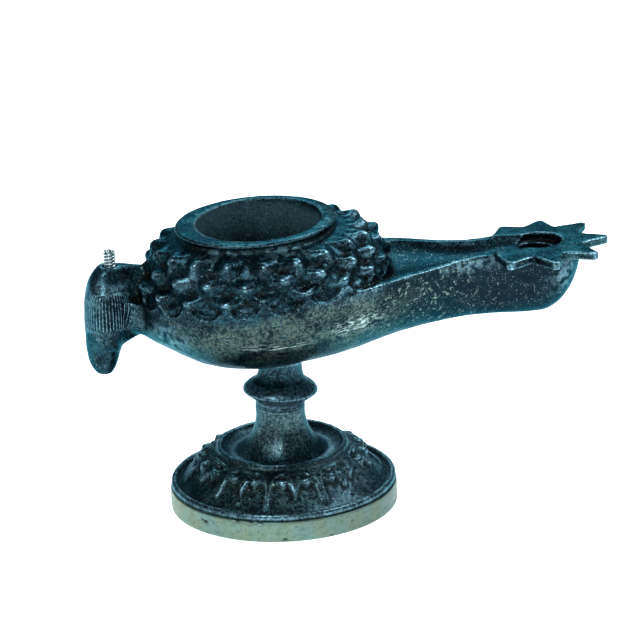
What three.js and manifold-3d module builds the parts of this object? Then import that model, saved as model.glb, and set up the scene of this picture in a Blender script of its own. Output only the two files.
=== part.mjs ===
// A cast bronze oil lamp on a pedestal, in millimetres, +Z up, with its nozzle towards +X.
// The origin is the centre of the underside, on the axis of the foot.
// Four pieces: the lamp, the pedestal that it is soldered to, a disc of paler metal under
// the foot, and a threaded stud in the seat on top of the rear terminal.
import * as THREE from "three";
import { mergeVertices } from "three/addons/utils/BufferGeometryUtils.js";
import Module from "manifold-3d";

const wasm = await Module();
wasm.setup();

// Clearances
const JOINT_GAP = 0.3; // between the neck and the lamp that it carries, and round the stud
const FIT_GAP = 0.4; // between the disc's spigot and the hollow of the foot

// Foot
const FOOT_RADIUS = 34;
const FOOT_WALL = 3;
const HOLLOW_RADIUS = FOOT_RADIUS - FOOT_WALL - 3.4; // where the foot is open below
const BEAD_WIDTH = 2.1; // the round moulding along the foot's edge
const BEAD_HEIGHT = 2.3;
const DISH_RADIUS = FOOT_RADIUS * 0.55; // the rim of the dished top
const DISH_RIM_HEIGHT = 12.7; // above the disc
const DISH_DEPTH = 3.4;
const LEAF_COUNT = 10;
const LEAF_TURN = THREE.MathUtils.degToRad(-88.4); // the way that one of the leaves faces
const LEAF_RELIEF = 1.1;

// Disc under the foot
const DISC_STEP = 0.3; // how far the disc stands out past the foot
const DISC_RADIUS = FOOT_RADIUS + DISC_STEP;
const DISC_HEIGHT = 6.4;
const SPIGOT_HEIGHT = 1.6;

// Stem
const STEM_RADIUS = 7.4;
const STEM_HEIGHT = 25.9; // from the disc to the underside of the collar
const COLLAR_RADIUS = 11.3;
const COLLAR_HEIGHT = 7.4;
const NECK_RADIUS = 6.4;
const NECK_HEIGHT = 5.2; // from the collar to the lowest point of the lamp
const NECK_LEAN = THREE.MathUtils.degToRad(3); // collar and neck were set a little askew

// Lamp: heights are above the lamp's lowest point, and x is measured from the foot's axis
const WALL = 2.8;
const BODY_CENTRE_X = -3;
const BODY_HALF_LENGTH = 38.4;
const BODY_HALF_WIDTH = 31.5;
const HULL_DEPTH = 25.6;
const SHOULDER_RISE = 16.2;
const RIM_CENTRE_X = -4.9;
const RIM_HALF_LENGTH = 24.2;
const RIM_HALF_WIDTH = 22;
const RIM_HEIGHT = 45.1;
const RIM_THICKNESS = 1.3;
const RIM_TILT = THREE.MathUtils.degToRad(2.1); // the rim rises towards the nozzle
const FILLER_RADIUS = 18.8;
const FILLER_OFFSET = 0.8; // the hole was cut off centre, towards the nozzle
const THROAT_DEPTH = 15; // how far the hole goes straight down before the hollow opens out
const FILLER_OVERRUN = 4.5; // how far the hole's cut runs on into the hollow below its roof

// Knobs on the shoulder
const KNOB_ROWS = 4;
const KNOBS_PER_ROW = 19;
const KNOB_TURN = THREE.MathUtils.degToRad(-94); // the way that a knob of the top row faces
const KNOB_HEIGHT = 1.8;
const KNOB_SEGMENTS = 4; // facets across one knob

// Spout and nozzle
const NOZZLE_X = 79.3;
const NOZZLE_RADIUS = 12.4;
const NOZZLE_REACH = 13.4; // from the wick hole to the nozzle's end
const SPOUT_HALF_WIDTH = 8.4; // at its narrowest
const TROUGH_DEPTH = 3.4; // it grows shallower towards the nozzle
const TROUGH_LIP = 1.4;
const TROUGH_FLOOR = 3.4; // metal between the trough and the oil way below it
const RECESS_RADIUS = 6.9; // the round opening in the star plate
const RECESS_DEPTH = 2.7;
const RECESS_OFFSET = 0.6; // it was cut off the nozzle's centre, away from the body
const WICK_RADIUS = 5; // the wick hole in the recess's floor
const WICK_OFFSET = -0.3; // it was drilled off the nozzle's centre, towards the body
const STAR_TOP = 31.7;
const STAR_THICKNESS = 2.4;
const STAR_VALLEY_RADIUS = 13.8;
const STAR_POINTS = [
  // the way that each point faces, in degrees from the spout's axis, and how far it reaches
  [-121.5, 21],
  [-82, 21.1],
  [-42, 21.6],
  [0, 21.6],
  [39, 21.2],
  [78, 18.4],
  [120, 17.4],
];
const STAR_BACK = [
  // its two corners on the spout's lips
  [-144.4, 16.7],
  [154, 14.3],
];

// Rear terminal, a short hook with a belt round it
const TERMINAL_REACH = 16.2; // behind the body's rear end
const TERMINAL_TOP = 34.1;
const TERMINAL_BOTTOM = -0.6;
const TERMINAL_HALF_WIDTH = 9;
const BELT_LOW = 15.6;
const BELT_HIGH = 27.2;
const BELT_RELIEF = 0.7;

// Threaded stud
const STUD_RADIUS = 1.8;
const STUD_LENGTH = 9;
const STUD_SHOWING = 5.2;
const STUD_PITCH = 1;
const STUD_SLOT = 0.7;

const REAR_X = BODY_CENTRE_X - BODY_HALF_LENGTH;
const LAMP_Z = DISC_HEIGHT + STEM_HEIGHT + COLLAR_HEIGHT + NECK_HEIGHT;

// A closed geometry as a solid that can be joined and cut.
function solid(geometry) {
  const bare = geometry.clone();
  bare.deleteAttribute("normal");
  bare.deleteAttribute("uv");
  const merged = mergeVertices(bare, 1e-4);
  return new wasm.Manifold(
    new wasm.Mesh({
      numProp: 3,
      vertProperties: merged.attributes.position.array,
      triVerts: new Uint32Array(merged.index.array),
    }),
  );
}

function geometryOf(manifold) {
  const mesh = manifold.getMesh();
  return new THREE.BufferGeometry()
    .setAttribute("position", new THREE.BufferAttribute(mesh.vertProperties, 3))
    .setIndex(new THREE.BufferAttribute(mesh.triVerts, 1));
}

// Moves each vertex of a geometry to move(point).
function reshape(geometry, move) {
  const position = geometry.attributes.position;
  const point = new THREE.Vector3();
  for (let i = 0; i < position.count; i++) {
    move(point.fromBufferAttribute(position, i));
    position.setXYZ(i, point.x, point.y, point.z);
  }
  return geometry;
}

// A profile of [radius, height] pairs turned round Z.
function turned(profile, segments) {
  const points = profile.map(([r, z]) => new THREE.Vector2(r, z));
  return new THREE.LatheGeometry(points, segments).rotateX(Math.PI / 2);
}

function cylinder(radius, low, high, segments) {
  return new THREE.CylinderGeometry(radius, radius, high - low, segments)
    .rotateX(Math.PI / 2)
    .translate(0, 0, (low + high) / 2);
}

// A smooth curve through [x, value] pairs, read by x.
function curveThrough(pairs) {
  const last = pairs.length - 1;
  const slope = (i) => {
    const a = Math.max(i - 1, 0);
    const b = Math.min(i + 1, last);
    return (pairs[b][1] - pairs[a][1]) / (pairs[b][0] - pairs[a][0]);
  };
  return (x) => {
    if (x <= pairs[0][0]) return pairs[0][1];
    if (x >= pairs[last][0]) return pairs[last][1];
    const i = pairs.findIndex(([end]) => end > x) - 1;
    const width = pairs[i + 1][0] - pairs[i][0];
    const t = (x - pairs[i][0]) / width;
    const t2 = t * t;
    const t3 = t2 * t;
    return (
      (2 * t3 - 3 * t2 + 1) * pairs[i][1] +
      (t3 - 2 * t2 + t) * width * slope(i) +
      (3 * t2 - 2 * t3) * pairs[i + 1][1] +
      (t3 - t2) * width * slope(i + 1)
    );
  };
}

// The disc under the foot, with a low spigot that stands in the foot's hollow
function disc() {
  const spigot = HOLLOW_RADIUS - FIT_GAP - 0.6;
  return turned(
    [
      [0, 0],
      [DISC_RADIUS - 0.4, 0],
      [DISC_RADIUS, 0.4],
      [DISC_RADIUS, DISC_HEIGHT - 0.3],
      [DISC_RADIUS - 0.3, DISC_HEIGHT],
      [spigot, DISC_HEIGHT],
      [spigot - 0.6, DISC_HEIGHT + SPIGOT_HEIGHT],
      [0, DISC_HEIGHT + SPIGOT_HEIGHT],
    ],
    40,
  );
}

// How far the leaves stand out at a turn round the foot (0 to 1 across one leaf)
// and at a place down the slope (0 at the dish, 1 at the bead).
function leafRelief(across, down) {
  const side = Math.abs(across - 0.5) * 2;
  const outline = Math.sqrt(Math.max(0, 1 - side ** 2));
  const body = down < outline * 0.3 ? 0.75 : 1;
  const valley = side > 0.84 ? 0.15 : 1;
  const fade = 1 - 0.75 * down ** 2;
  return LEAF_RELIEF * body * valley * fade;
}

// The domed foot: a bead along its edge, a slope with a ring of leaves, and the dish's rim
function foot() {
  const slopeTop = DISH_RADIUS + 2.4;
  const slopeFoot = FOOT_RADIUS - BEAD_WIDTH - 0.4;
  const lip = DISH_RIM_HEIGHT;
  const profile = [
    [0, 0],
    [FOOT_RADIUS - 0.4, 0],
    [FOOT_RADIUS, BEAD_HEIGHT * 0.5],
    [FOOT_RADIUS - BEAD_WIDTH * 0.4, BEAD_HEIGHT],
    [slopeFoot, BEAD_HEIGHT * 0.8],
    [slopeFoot - 2, lip * 0.24],
    [slopeFoot - 4.5, lip * 0.44],
    [slopeFoot - 7, lip * 0.68],
    [slopeFoot - 8.6, lip * 0.79],
    [slopeTop, lip * 0.86],
    [DISH_RADIUS + 1.6, lip * 0.89],
    [DISH_RADIUS + 1, lip],
    [DISH_RADIUS, lip],
    [DISH_RADIUS - 1.4, lip - DISH_DEPTH * 0.5],
    [DISH_RADIUS - 3, lip - DISH_DEPTH * 0.9],
    [0, lip - DISH_DEPTH],
  ];
  const segmentsPerLeaf = 6;
  const shape = turned(profile, LEAF_COUNT * segmentsPerLeaf);
  return reshape(shape, (p) => {
    const r = Math.hypot(p.x, p.y);
    const down = (r - slopeTop) / (slopeFoot - slopeTop);
    if (down < 0 || down > 0.99 || p.z < BEAD_HEIGHT) return;
    const turn = Math.atan2(p.y, p.x) - LEAF_TURN;
    const turns = (turn / (2 * Math.PI)) * LEAF_COUNT + 0.5;
    const relief = leafRelief(turns - Math.floor(turns + 1e-6), down);
    p.x += (p.x / r) * relief * 0.6;
    p.y += (p.y / r) * relief * 0.6;
    p.z += relief * 0.8;
  });
}

// The hollow under the foot keeps its wall below the slope and below the dish
function footHollow() {
  const ceiling = DISH_RIM_HEIGHT - DISH_DEPTH - FOOT_WALL;
  return turned(
    [
      [0, -1],
      [HOLLOW_RADIUS, -1],
      [HOLLOW_RADIUS, 0],
      [HOLLOW_RADIUS - 0.6, SPIGOT_HEIGHT + 0.4],
      [DISH_RADIUS + 3.5, ceiling - 1.2],
      [DISH_RADIUS + 1, ceiling],
      [0, ceiling],
    ],
    36,
  );
}

// Stem, collar and neck; the neck runs on into the lamp, whose underside then cuts it
function stem() {
  const start = DISH_RIM_HEIGHT - DISH_DEPTH - 0.5;
  const collar = STEM_HEIGHT;
  const widest = collar + COLLAR_HEIGHT * 0.6;
  const top = collar + COLLAR_HEIGHT;
  const end = top + NECK_HEIGHT;
  const flare = DISH_RIM_HEIGHT - DISH_DEPTH;
  const profile = [
    [0, start],
    [STEM_RADIUS + 7.8, start],
    [STEM_RADIUS + 5, flare + 1.2],
    [STEM_RADIUS + 2.9, flare + 3],
    [STEM_RADIUS + 1.4, flare + 5.6],
    [STEM_RADIUS + 0.3, flare + 9.4],
    [STEM_RADIUS - 0.1, collar - 0.6],
    [STEM_RADIUS + 1.6, collar + 0.7],
    [COLLAR_RADIUS - 0.4, collar + COLLAR_HEIGHT * 0.36],
    [COLLAR_RADIUS, widest],
    [COLLAR_RADIUS - 0.3, collar + COLLAR_HEIGHT * 0.75],
    [COLLAR_RADIUS - 1.1, collar + COLLAR_HEIGHT * 0.87],
    [COLLAR_RADIUS - 2.7, collar + COLLAR_HEIGHT * 0.95],
    [NECK_RADIUS + 0.9, top + 0.7],
    [NECK_RADIUS + 0.2, top + 2],
    [NECK_RADIUS, end],
    [NECK_RADIUS, end + 4],
    [0, end + 4],
  ];
  return reshape(turned(profile, 24), (p) => {
    const lean = NECK_LEAN * THREE.MathUtils.smoothstep(p.z, collar - 5, collar);
    const up = p.z - collar;
    const x = p.x;
    p.x = x * Math.cos(lean) + up * Math.sin(lean);
    p.z = collar + up * Math.cos(lean) - x * Math.sin(lean);
  });
}

// The hull's plan, gunwale and keel, from the terminal at the rear to the nozzle's end.
// Each reads x, and grow moves the surface outwards, or inwards where it is negative.
const tangentX = BODY_CENTRE_X + 0.44 * BODY_HALF_LENGTH;
const ellipseWidth = (x) =>
  BODY_HALF_WIDTH * Math.sqrt(Math.max(0, 1 - ((x - BODY_CENTRE_X) / BODY_HALF_LENGTH) ** 2));
const spoutStart = (x) => tangentX + (NOZZLE_X - tangentX) * x;
const spoutWidth = curveThrough([
  [tangentX - 4, ellipseWidth(tangentX - 4)],
  [tangentX, ellipseWidth(tangentX)],
  [spoutStart(0.28), BODY_HALF_WIDTH * 0.66],
  [spoutStart(0.46), BODY_HALF_WIDTH * 0.488],
  [spoutStart(0.62), SPOUT_HALF_WIDTH + 1.9],
  [spoutStart(0.74), SPOUT_HALF_WIDTH],
  [spoutStart(0.86), SPOUT_HALF_WIDTH + 1.1],
  [NOZZLE_X, NOZZLE_RADIUS],
]);
const terminalWidth = TERMINAL_HALF_WIDTH - 1.2;

function halfWidth(x, grow = 0) {
  if (x > NOZZLE_X) {
    const out = (x - NOZZLE_X) / (NOZZLE_REACH + grow);
    return (NOZZLE_RADIUS + grow) * Math.sqrt(Math.max(0, 1 - out ** 2));
  }
  if (x > tangentX) return spoutWidth(x) + grow;
  return Math.max(ellipseWidth(x), terminalWidth) + grow;
}

const gunwale = curveThrough([
  [REAR_X - 4, HULL_DEPTH - 1],
  [REAR_X + 4, HULL_DEPTH - 2.6],
  [BODY_CENTRE_X, HULL_DEPTH],
  [tangentX, HULL_DEPTH + 2.2],
  [spoutStart(0.3), HULL_DEPTH + 3.9],
  [spoutStart(0.6), STAR_TOP - 1.4],
  [spoutStart(0.85), STAR_TOP - 0.6],
  [NOZZLE_X, STAR_TOP - 0.6],
]);

const keel = curveThrough([
  [REAR_X - 4, HULL_DEPTH * 0.5],
  [REAR_X + 1, HULL_DEPTH * 0.45],
  [REAR_X + 6, HULL_DEPTH * 0.345],
  [REAR_X + 18, HULL_DEPTH * 0.11],
  [REAR_X + 33, 0],
  [BODY_CENTRE_X + 10, HULL_DEPTH * 0.04],
  [tangentX + 8, HULL_DEPTH * 0.13],
  [spoutStart(0.35), HULL_DEPTH * 0.28],
  [spoutStart(0.6), HULL_DEPTH * 0.36],
  [spoutStart(0.8), HULL_DEPTH * 0.375],
  [NOZZLE_X, HULL_DEPTH * 0.375],
  [NOZZLE_X + NOZZLE_REACH, HULL_DEPTH * 0.48],
]);

// A boat-shaped solid from one end to the other, whose sections are half ellipses below
// a flat deck. A sphere is laid with its poles at the two ends, and a fifth of its facets
// go to the deck.
function boat({ from, to, width, deck, bottom, around = 20, along = 20 }) {
  const sphere = new THREE.SphereGeometry(1, around, along);
  const deckShare = 0.2;
  sphere.rotateZ(-Math.PI / 2);
  return reshape(sphere, (p) => {
    const x = (from + to) / 2 + ((to - from) / 2) * p.x;
    const turn = Math.abs(Math.atan2(p.y, p.z)) / Math.PI;
    const sign = Math.sign(p.y);
    const below = ((turn - deckShare) / (1 - deckShare)) * (Math.PI / 2);
    const onDeck = turn <= deckShare;
    const side = Math.hypot(p.y, p.z) < 1e-6 ? 0 : onDeck ? turn / deckShare : Math.cos(below);
    const drop = Math.hypot(p.y, p.z) < 1e-6 || onDeck ? 0 : Math.sin(below);
    p.set(x, width(x) * side * sign, deck(x) - (deck(x) - bottom(x)) * drop);
  });
}

// The nozzle's end rounds up from the keel: its depth shrinks with its width.
const roundedKeel = (grow) => (x) => {
  const low = keel(x) - grow;
  if (x <= NOZZLE_X) return low;
  const out = (x - NOZZLE_X) / (NOZZLE_REACH + grow);
  const shrink = Math.sqrt(Math.max(0, 1 - out ** 2.4));
  return gunwale(x) - (gunwale(x) - low) * shrink;
};

function hull(grow = 0) {
  return boat({
    from: REAR_X - 5,
    to: NOZZLE_X + NOZZLE_REACH + grow,
    width: (x) => halfWidth(x, grow),
    deck: gunwale,
    bottom: roundedKeel(grow),
  });
}

// How far the trough's floor is below the gunwale
const troughFall = curveThrough([
  [BODY_CENTRE_X, TROUGH_DEPTH],
  [spoutStart(0.6), TROUGH_DEPTH],
  [spoutStart(0.85), TROUGH_DEPTH * 0.7],
  [NOZZLE_X, RECESS_DEPTH - (STAR_TOP - gunwale(NOZZLE_X))],
]);

// The open trough along the top of the spout, from the shoulder through the star plate to
// the recess round the wick hole
function trough() {
  const inStar = spoutStart(0.8);
  return boat({
    from: BODY_CENTRE_X,
    to: NOZZLE_X - RECESS_RADIUS * 0.3,
    width: (x) => Math.min(halfWidth(x, -TROUGH_LIP), x > inStar ? RECESS_RADIUS : Infinity),
    deck: (x) => gunwale(x) + 3,
    bottom: (x) => gunwale(x) - troughFall(x),
    around: 14,
    along: 14,
  });
}

// One place on the shoulder, turn round the body and t from the rim's neck (0) to the
// hull (1). inset moves it inwards, for the wall.
function shoulderPoint(turn, t, inset, target) {
  const out = 0.92 * Math.sin((t * Math.PI) / 2) + 0.08 * t;
  const up = 0.92 * Math.cos((t * Math.PI) / 2) + 0.08 * (1 - t);
  const neckLength = RIM_HALF_LENGTH - 0.9;
  const neckWidth = RIM_HALF_WIDTH - 0.9;
  const a = neckLength + (BODY_HALF_LENGTH - 1.6 - neckLength) * out - inset;
  const b = neckWidth + (BODY_HALF_WIDTH - 1.3 - neckWidth) * out - inset;
  const cx = RIM_CENTRE_X + (BODY_CENTRE_X - RIM_CENTRE_X) * out;
  const low = gunwale(cx + a * Math.cos(turn)) - 0.8;
  const high = HULL_DEPTH + SHOULDER_RISE + a * Math.cos(turn) * Math.tan(RIM_TILT);
  return target.set(
    cx + a * Math.cos(turn),
    b * Math.sin(turn),
    low + (high - low) * up - inset * up,
  );
}

// Which row of knobs a place on the shoulder is in. The rows are about equally deep along
// the curve, below a smooth band under the rim, and the last one runs behind the hull's edge.
const rowAt = curveThrough([
  [0, -0.75],
  [0.18, 0],
  [0.45, 1],
  [0.66, 2],
  [0.83, 3],
  [1, 4.2],
]);

// The height of the knobs at a place on the shoulder. Every other row is turned by half
// a knob, and each knob is a drop whose lower end stands out most.
function knobHeight(turn, t) {
  let height = 0;
  for (let row = 0; row < KNOB_ROWS; row++) {
    const stagger = (row % 2) / 2;
    const across = ((turn - KNOB_TURN) / (2 * Math.PI)) * KNOBS_PER_ROW + stagger;
    const u = (across - Math.round(across)) * 2;
    const v = (rowAt(t) - row - 0.45) / 0.75;
    const left = 1 - u * u - v * v;
    if (left <= 0) continue;
    height = Math.max(height, KNOB_HEIGHT * Math.sqrt(left) * (1 + 0.4 * v));
  }
  return height;
}

// The knobbed shoulder as a closed solid: a can whose side becomes the shoulder. Its last
// row goes straight down, to the trough's floor at the front and into the hull elsewhere.
function shoulder() {
  const rows = KNOB_ROWS * 3;
  const skirt = TROUGH_DEPTH + 0.6;
  const can = new THREE.CylinderGeometry(1, 1, 1, KNOBS_PER_ROW * KNOB_SEGMENTS, rows + 1);
  can.rotateX(Math.PI / 2).rotateZ(Math.PI / 2 + KNOB_TURN);
  const normal = new THREE.Vector3();
  const onward = new THREE.Vector3();
  const around = new THREE.Vector3();
  return reshape(can, (p) => {
    const r = Math.hypot(p.x, p.y);
    const t = ((0.5 - p.z) * (rows + 1)) / rows;
    if (r < 0.5) {
      p.set(BODY_CENTRE_X, 0, t < 0.5 ? HULL_DEPTH + SHOULDER_RISE : HULL_DEPTH - skirt - 2);
      return;
    }
    const turn = Math.atan2(p.y, p.x);
    if (t > 1.01) {
      shoulderPoint(turn, 1, 0, p);
      p.z -= skirt;
      return;
    }
    const step = 0.01;
    shoulderPoint(turn, t, 0, p);
    shoulderPoint(turn, t + step, 0, onward).sub(p);
    shoulderPoint(turn + step, t, 0, around).sub(p);
    normal.crossVectors(onward, around).normalize();
    p.addScaledVector(normal, knobHeight(turn, t));
  });
}

// The flat rim of the filler hole, over a short concave neck. It leans with RIM_TILT.
function rim() {
  const low = HULL_DEPTH + SHOULDER_RISE - 1.5;
  const height = RIM_HEIGHT - low;
  const profile = [
    [0, 0],
    [1.02, 0],
    [0.985, height * 0.35],
    [0.965, height - RIM_THICKNESS - 0.5],
    [0.99, height - RIM_THICKNESS],
    [1, height - RIM_THICKNESS * 0.5],
    [0.99, height],
    [0, height],
  ];
  const shape = turned(profile, 36).scale(RIM_HALF_LENGTH, RIM_HALF_WIDTH, 1);
  return shape.rotateY(-RIM_TILT).translate(RIM_CENTRE_X, 0, low);
}

// The star plate round the wick hole, with blunt points and straight-sided valleys
function star() {
  const outline = new THREE.Shape();
  const corner = (degrees, radius) => {
    const turn = THREE.MathUtils.degToRad(degrees);
    return [radius * Math.cos(turn), radius * Math.sin(turn)];
  };
  const blunt = 2.4; // half the width of a point's end, in degrees
  const [nearBack, farBack] = STAR_BACK;
  outline.moveTo(...corner(...nearBack));
  STAR_POINTS.forEach(([facing, reach], i) => {
    const next = STAR_POINTS[i + 1];
    outline.lineTo(...corner(facing - blunt, reach));
    outline.lineTo(...corner(facing + blunt, reach));
    if (next) outline.lineTo(...corner((facing + next[0]) / 2, STAR_VALLEY_RADIUS));
  });
  outline.lineTo(...corner(...farBack));
  return new THREE.ExtrudeGeometry(outline, { depth: STAR_THICKNESS, bevelEnabled: false })
    .translate(NOZZLE_X, -0.6, STAR_TOP - STAR_THICKNESS);
}

// The rear terminal's sections, from the body down to its rounded end. Each has its outer
// and inner edge as [behind the body, height], both as shares of the terminal's reach and
// height, and its half width as a share.
const TERMINAL_SECTIONS = [
  { outer: [-0.3, 0.97], inner: [-0.3, 0.36], width: 0.5 },
  { outer: [0.05, 0.995], inner: [-0.05, 0.355], width: 0.5 },
  { outer: [0.32, 1.02], inner: [0.2, 0.3], width: 0.66 },
  { outer: [0.62, 1.02], inner: [0.33, 0.27], width: 0.93 },
  { outer: [0.86, 0.9], inner: [0.34, 0.26], width: 1 },
  { outer: [0.975, 0.72], inner: [0.34, 0.25], width: 1 },
  { outer: [1, 0.54], inner: [0.345, 0.24], width: 0.94 },
  { outer: [1.0, 0.4], inner: [0.36, 0.23], width: 0.78 },
  { outer: [0.99, 0.24], inner: [0.39, 0.17], width: 0.6 },
  { outer: [0.94, 0.12], inner: [0.44, 0.1], width: 0.5 },
  { outer: [0.83, 0.035], inner: [0.53, 0.03], width: 0.34 },
];

function terminal() {
  const height = TERMINAL_TOP - TERMINAL_BOTTOM;
  const place = ([back, up]) => [REAR_X - TERMINAL_REACH * back, TERMINAL_BOTTOM + height * up];
  const pick = (read) => curveThrough(TERMINAL_SECTIONS.map((s, i) => [i, read(s)]));
  const outerX = pick((s) => place(s.outer)[0]);
  const outerZ = pick((s) => place(s.outer)[1]);
  const innerX = pick((s) => place(s.inner)[0]);
  const innerZ = pick((s) => place(s.inner)[1]);
  const width = pick((s) => s.width * TERMINAL_HALF_WIDTH);
  const last = TERMINAL_SECTIONS.length - 1;
  const sphere = new THREE.SphereGeometry(1, 16, 18);
  return reshape(sphere, (p) => {
    const r = Math.hypot(p.x, p.z);
    const along = ((1 - p.y) / 2) * last;
    const round = r < 1e-6 ? 0 : 1;
    const up = round && p.x / r;
    const side = round && p.z / r;
    const cx = (outerX(along) + innerX(along)) / 2;
    const cz = (outerZ(along) + innerZ(along)) / 2;
    const x = cx + ((outerX(along) - innerX(along)) / 2) * up;
    const z = cz + ((outerZ(along) - innerZ(along)) / 2) * up;
    const belt = z > BELT_LOW && z < BELT_HIGH ? BELT_RELIEF : 0;
    p.set(x, side * (width(along) + belt), z);
  });
}

function studSeat() {
  return new THREE.BoxGeometry(TERMINAL_REACH * 2, 40, 10).translate(
    REAR_X - TERMINAL_REACH,
    0,
    TERMINAL_TOP + 5,
  );
}

const STUD_X = REAR_X - TERMINAL_REACH * 0.48;
const STUD_BOTTOM = TERMINAL_TOP + STUD_SHOWING - STUD_LENGTH;

// The stud, with its thread as round ridges and a slot across its end
function stud() {
  const turns = Math.floor((STUD_SHOWING - 0.4) / STUD_PITCH);
  const start = STUD_LENGTH - 0.3 - turns * STUD_PITCH;
  const root = STUD_RADIUS * 0.78;
  const profile = [[0, 0], [STUD_RADIUS, 0], [STUD_RADIUS, start - STUD_PITCH * 0.5]];
  for (let i = 0; i < turns; i++) {
    profile.push([root, start + i * STUD_PITCH]);
    profile.push([STUD_RADIUS, start + (i + 0.5) * STUD_PITCH]);
  }
  profile.push([root, STUD_LENGTH], [0, STUD_LENGTH]);
  const slot = new THREE.BoxGeometry(STUD_SLOT, STUD_RADIUS * 3, 2);
  slot.rotateZ(0.5).translate(0, 0, STUD_LENGTH);
  return geometryOf(solid(turned(profile, 10)).subtract(solid(slot)));
}

// The oil space under the shoulder, which opens out below the filler hole's throat
function reservoir() {
  const roof = RIM_HEIGHT - THROAT_DEPTH;
  const sphere = new THREE.SphereGeometry(1, 24, 10).rotateX(Math.PI / 2);
  const top = new THREE.Vector3();
  return reshape(sphere, (p) => {
    const turn = Math.atan2(p.y, p.x);
    const r = Math.hypot(p.x, p.y);
    if (p.z >= 0) {
      const t = Math.min(1, (Math.asin(Math.min(1, r)) * 2) / Math.PI);
      shoulderPoint(turn, t, WALL, top);
      const neck = shoulderPoint(turn, 0, WALL, new THREE.Vector3());
      const inner = r < 0.5;
      const z = Math.min(top.z, roof);
      p.set(inner ? neck.x * 2 * r : top.x, inner ? neck.y * 2 * r : top.y, z);
      return;
    }
    shoulderPoint(turn, 1, WALL, top);
    const x = BODY_CENTRE_X + (top.x - BODY_CENTRE_X) * r;
    p.set(x, top.y * r, top.z + (top.z - keel(BODY_CENTRE_X) - WALL) * p.z * 0.96);
  });
}

// The oil way inside the spout, under the trough's floor
function oilWay() {
  return boat({
    from: BODY_CENTRE_X,
    to: NOZZLE_X + NOZZLE_REACH - WALL,
    width: (x) => halfWidth(x, -WALL),
    deck: (x) => gunwale(x) - troughFall(x) - TROUGH_FLOOR,
    bottom: roundedKeel(-WALL),
    around: 14,
    along: 14,
  });
}

function fillerHole() {
  const low = RIM_HEIGHT - THROAT_DEPTH - FILLER_OVERRUN;
  return cylinder(FILLER_RADIUS, low, RIM_HEIGHT + 9, 36)
    .translate(RIM_CENTRE_X + FILLER_OFFSET, 0, 0);
}

// The recess in the star plate
function wickRecess() {
  return cylinder(RECESS_RADIUS, STAR_TOP - RECESS_DEPTH, STAR_TOP + 4, 28)
    .translate(NOZZLE_X + RECESS_OFFSET, 0, 0);
}

// The wick hole, from the recess's floor down into the oil way
function wickHole() {
  return cylinder(WICK_RADIUS, STAR_TOP - RECESS_DEPTH - TROUGH_FLOOR - 4, STAR_TOP, 24)
    .translate(NOZZLE_X + WICK_OFFSET, 0.4, 0);
}

function studHole() {
  return cylinder(STUD_RADIUS + JOINT_GAP, STUD_BOTTOM, TERMINAL_TOP + 9, 12)
    .translate(STUD_X, 0, 0);
}

function lampBody() {
  const shell = solid(hull())
    .add(solid(star()))
    .subtract(solid(trough()))
    .add(solid(shoulder()))
    .add(solid(rim()))
    .add(solid(terminal()).subtract(solid(studSeat())));
  return geometryOf(
    shell
      .subtract(solid(reservoir()))
      .subtract(solid(oilWay()))
      .subtract(solid(fillerHole()))
      .subtract(solid(wickRecess()))
      .subtract(solid(wickHole()))
      .subtract(solid(studHole())),
  );
}

function pedestal() {
  const underside = solid(hull(JOINT_GAP).translate(0, 0, LAMP_Z - DISC_HEIGHT));
  const whole = solid(foot()).add(solid(stem())).subtract(solid(footHollow()));
  return geometryOf(whole.subtract(underside));
}

// Finishes
const patina = { color: 0x25414b, roughness: 0.42, metalness: 0.85 };
const wornBronze = { color: 0x34505a, roughness: 0.4, metalness: 0.85 };
const paleMetal = { color: 0xa9b6a0, roughness: 0.45, metalness: 0.8 };
const steel = { color: 0xb4bcbe, roughness: 0.3, metalness: 1 };

function piece(name, geometry, finish) {
  const flat = geometry.toNonIndexed();
  flat.computeVertexNormals();
  const mesh = new THREE.Mesh(flat, new THREE.MeshStandardMaterial(finish));
  mesh.name = name;
  return mesh;
}

const baseDisc = piece("base_disc", disc(), paleMetal);

const foundation = piece("pedestal", pedestal(), wornBronze);
foundation.position.z = DISC_HEIGHT;

const lamp = new THREE.Group();
lamp.position.z = LAMP_Z;
const body = piece("lamp_body", lampBody(), patina);
const threadedStud = piece("threaded_stud", stud(), steel);
threadedStud.position.set(STUD_X, 0, STUD_BOTTOM);
lamp.add(body, threadedStud);

const object = new THREE.Group();
object.add(baseDisc, foundation, lamp);

export default object;
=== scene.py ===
"""Dresses the frame of a pedestal oil lamp as an old bronze casting on a pale studio floor.

The lamp is one hollow casting with a knobbed shoulder, a channelled spout and a star plate
round its wick hole. It stands on a second casting, a stem on a leafed foot, which is closed
below by a disc of paler metal. A bright threaded stud stands in the rear terminal.

Shapes are worked out in millimetres in the frame's axes and turned to metres at the end.
"""

from __future__ import annotations

import logging
import math
from dataclasses import dataclass
from enum import Enum
from typing import Callable, Sequence, Union

import bmesh
import bpy
import numpy as np
from mathutils import Matrix, Vector, noise
from mathutils.kdtree import KDTree

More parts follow.
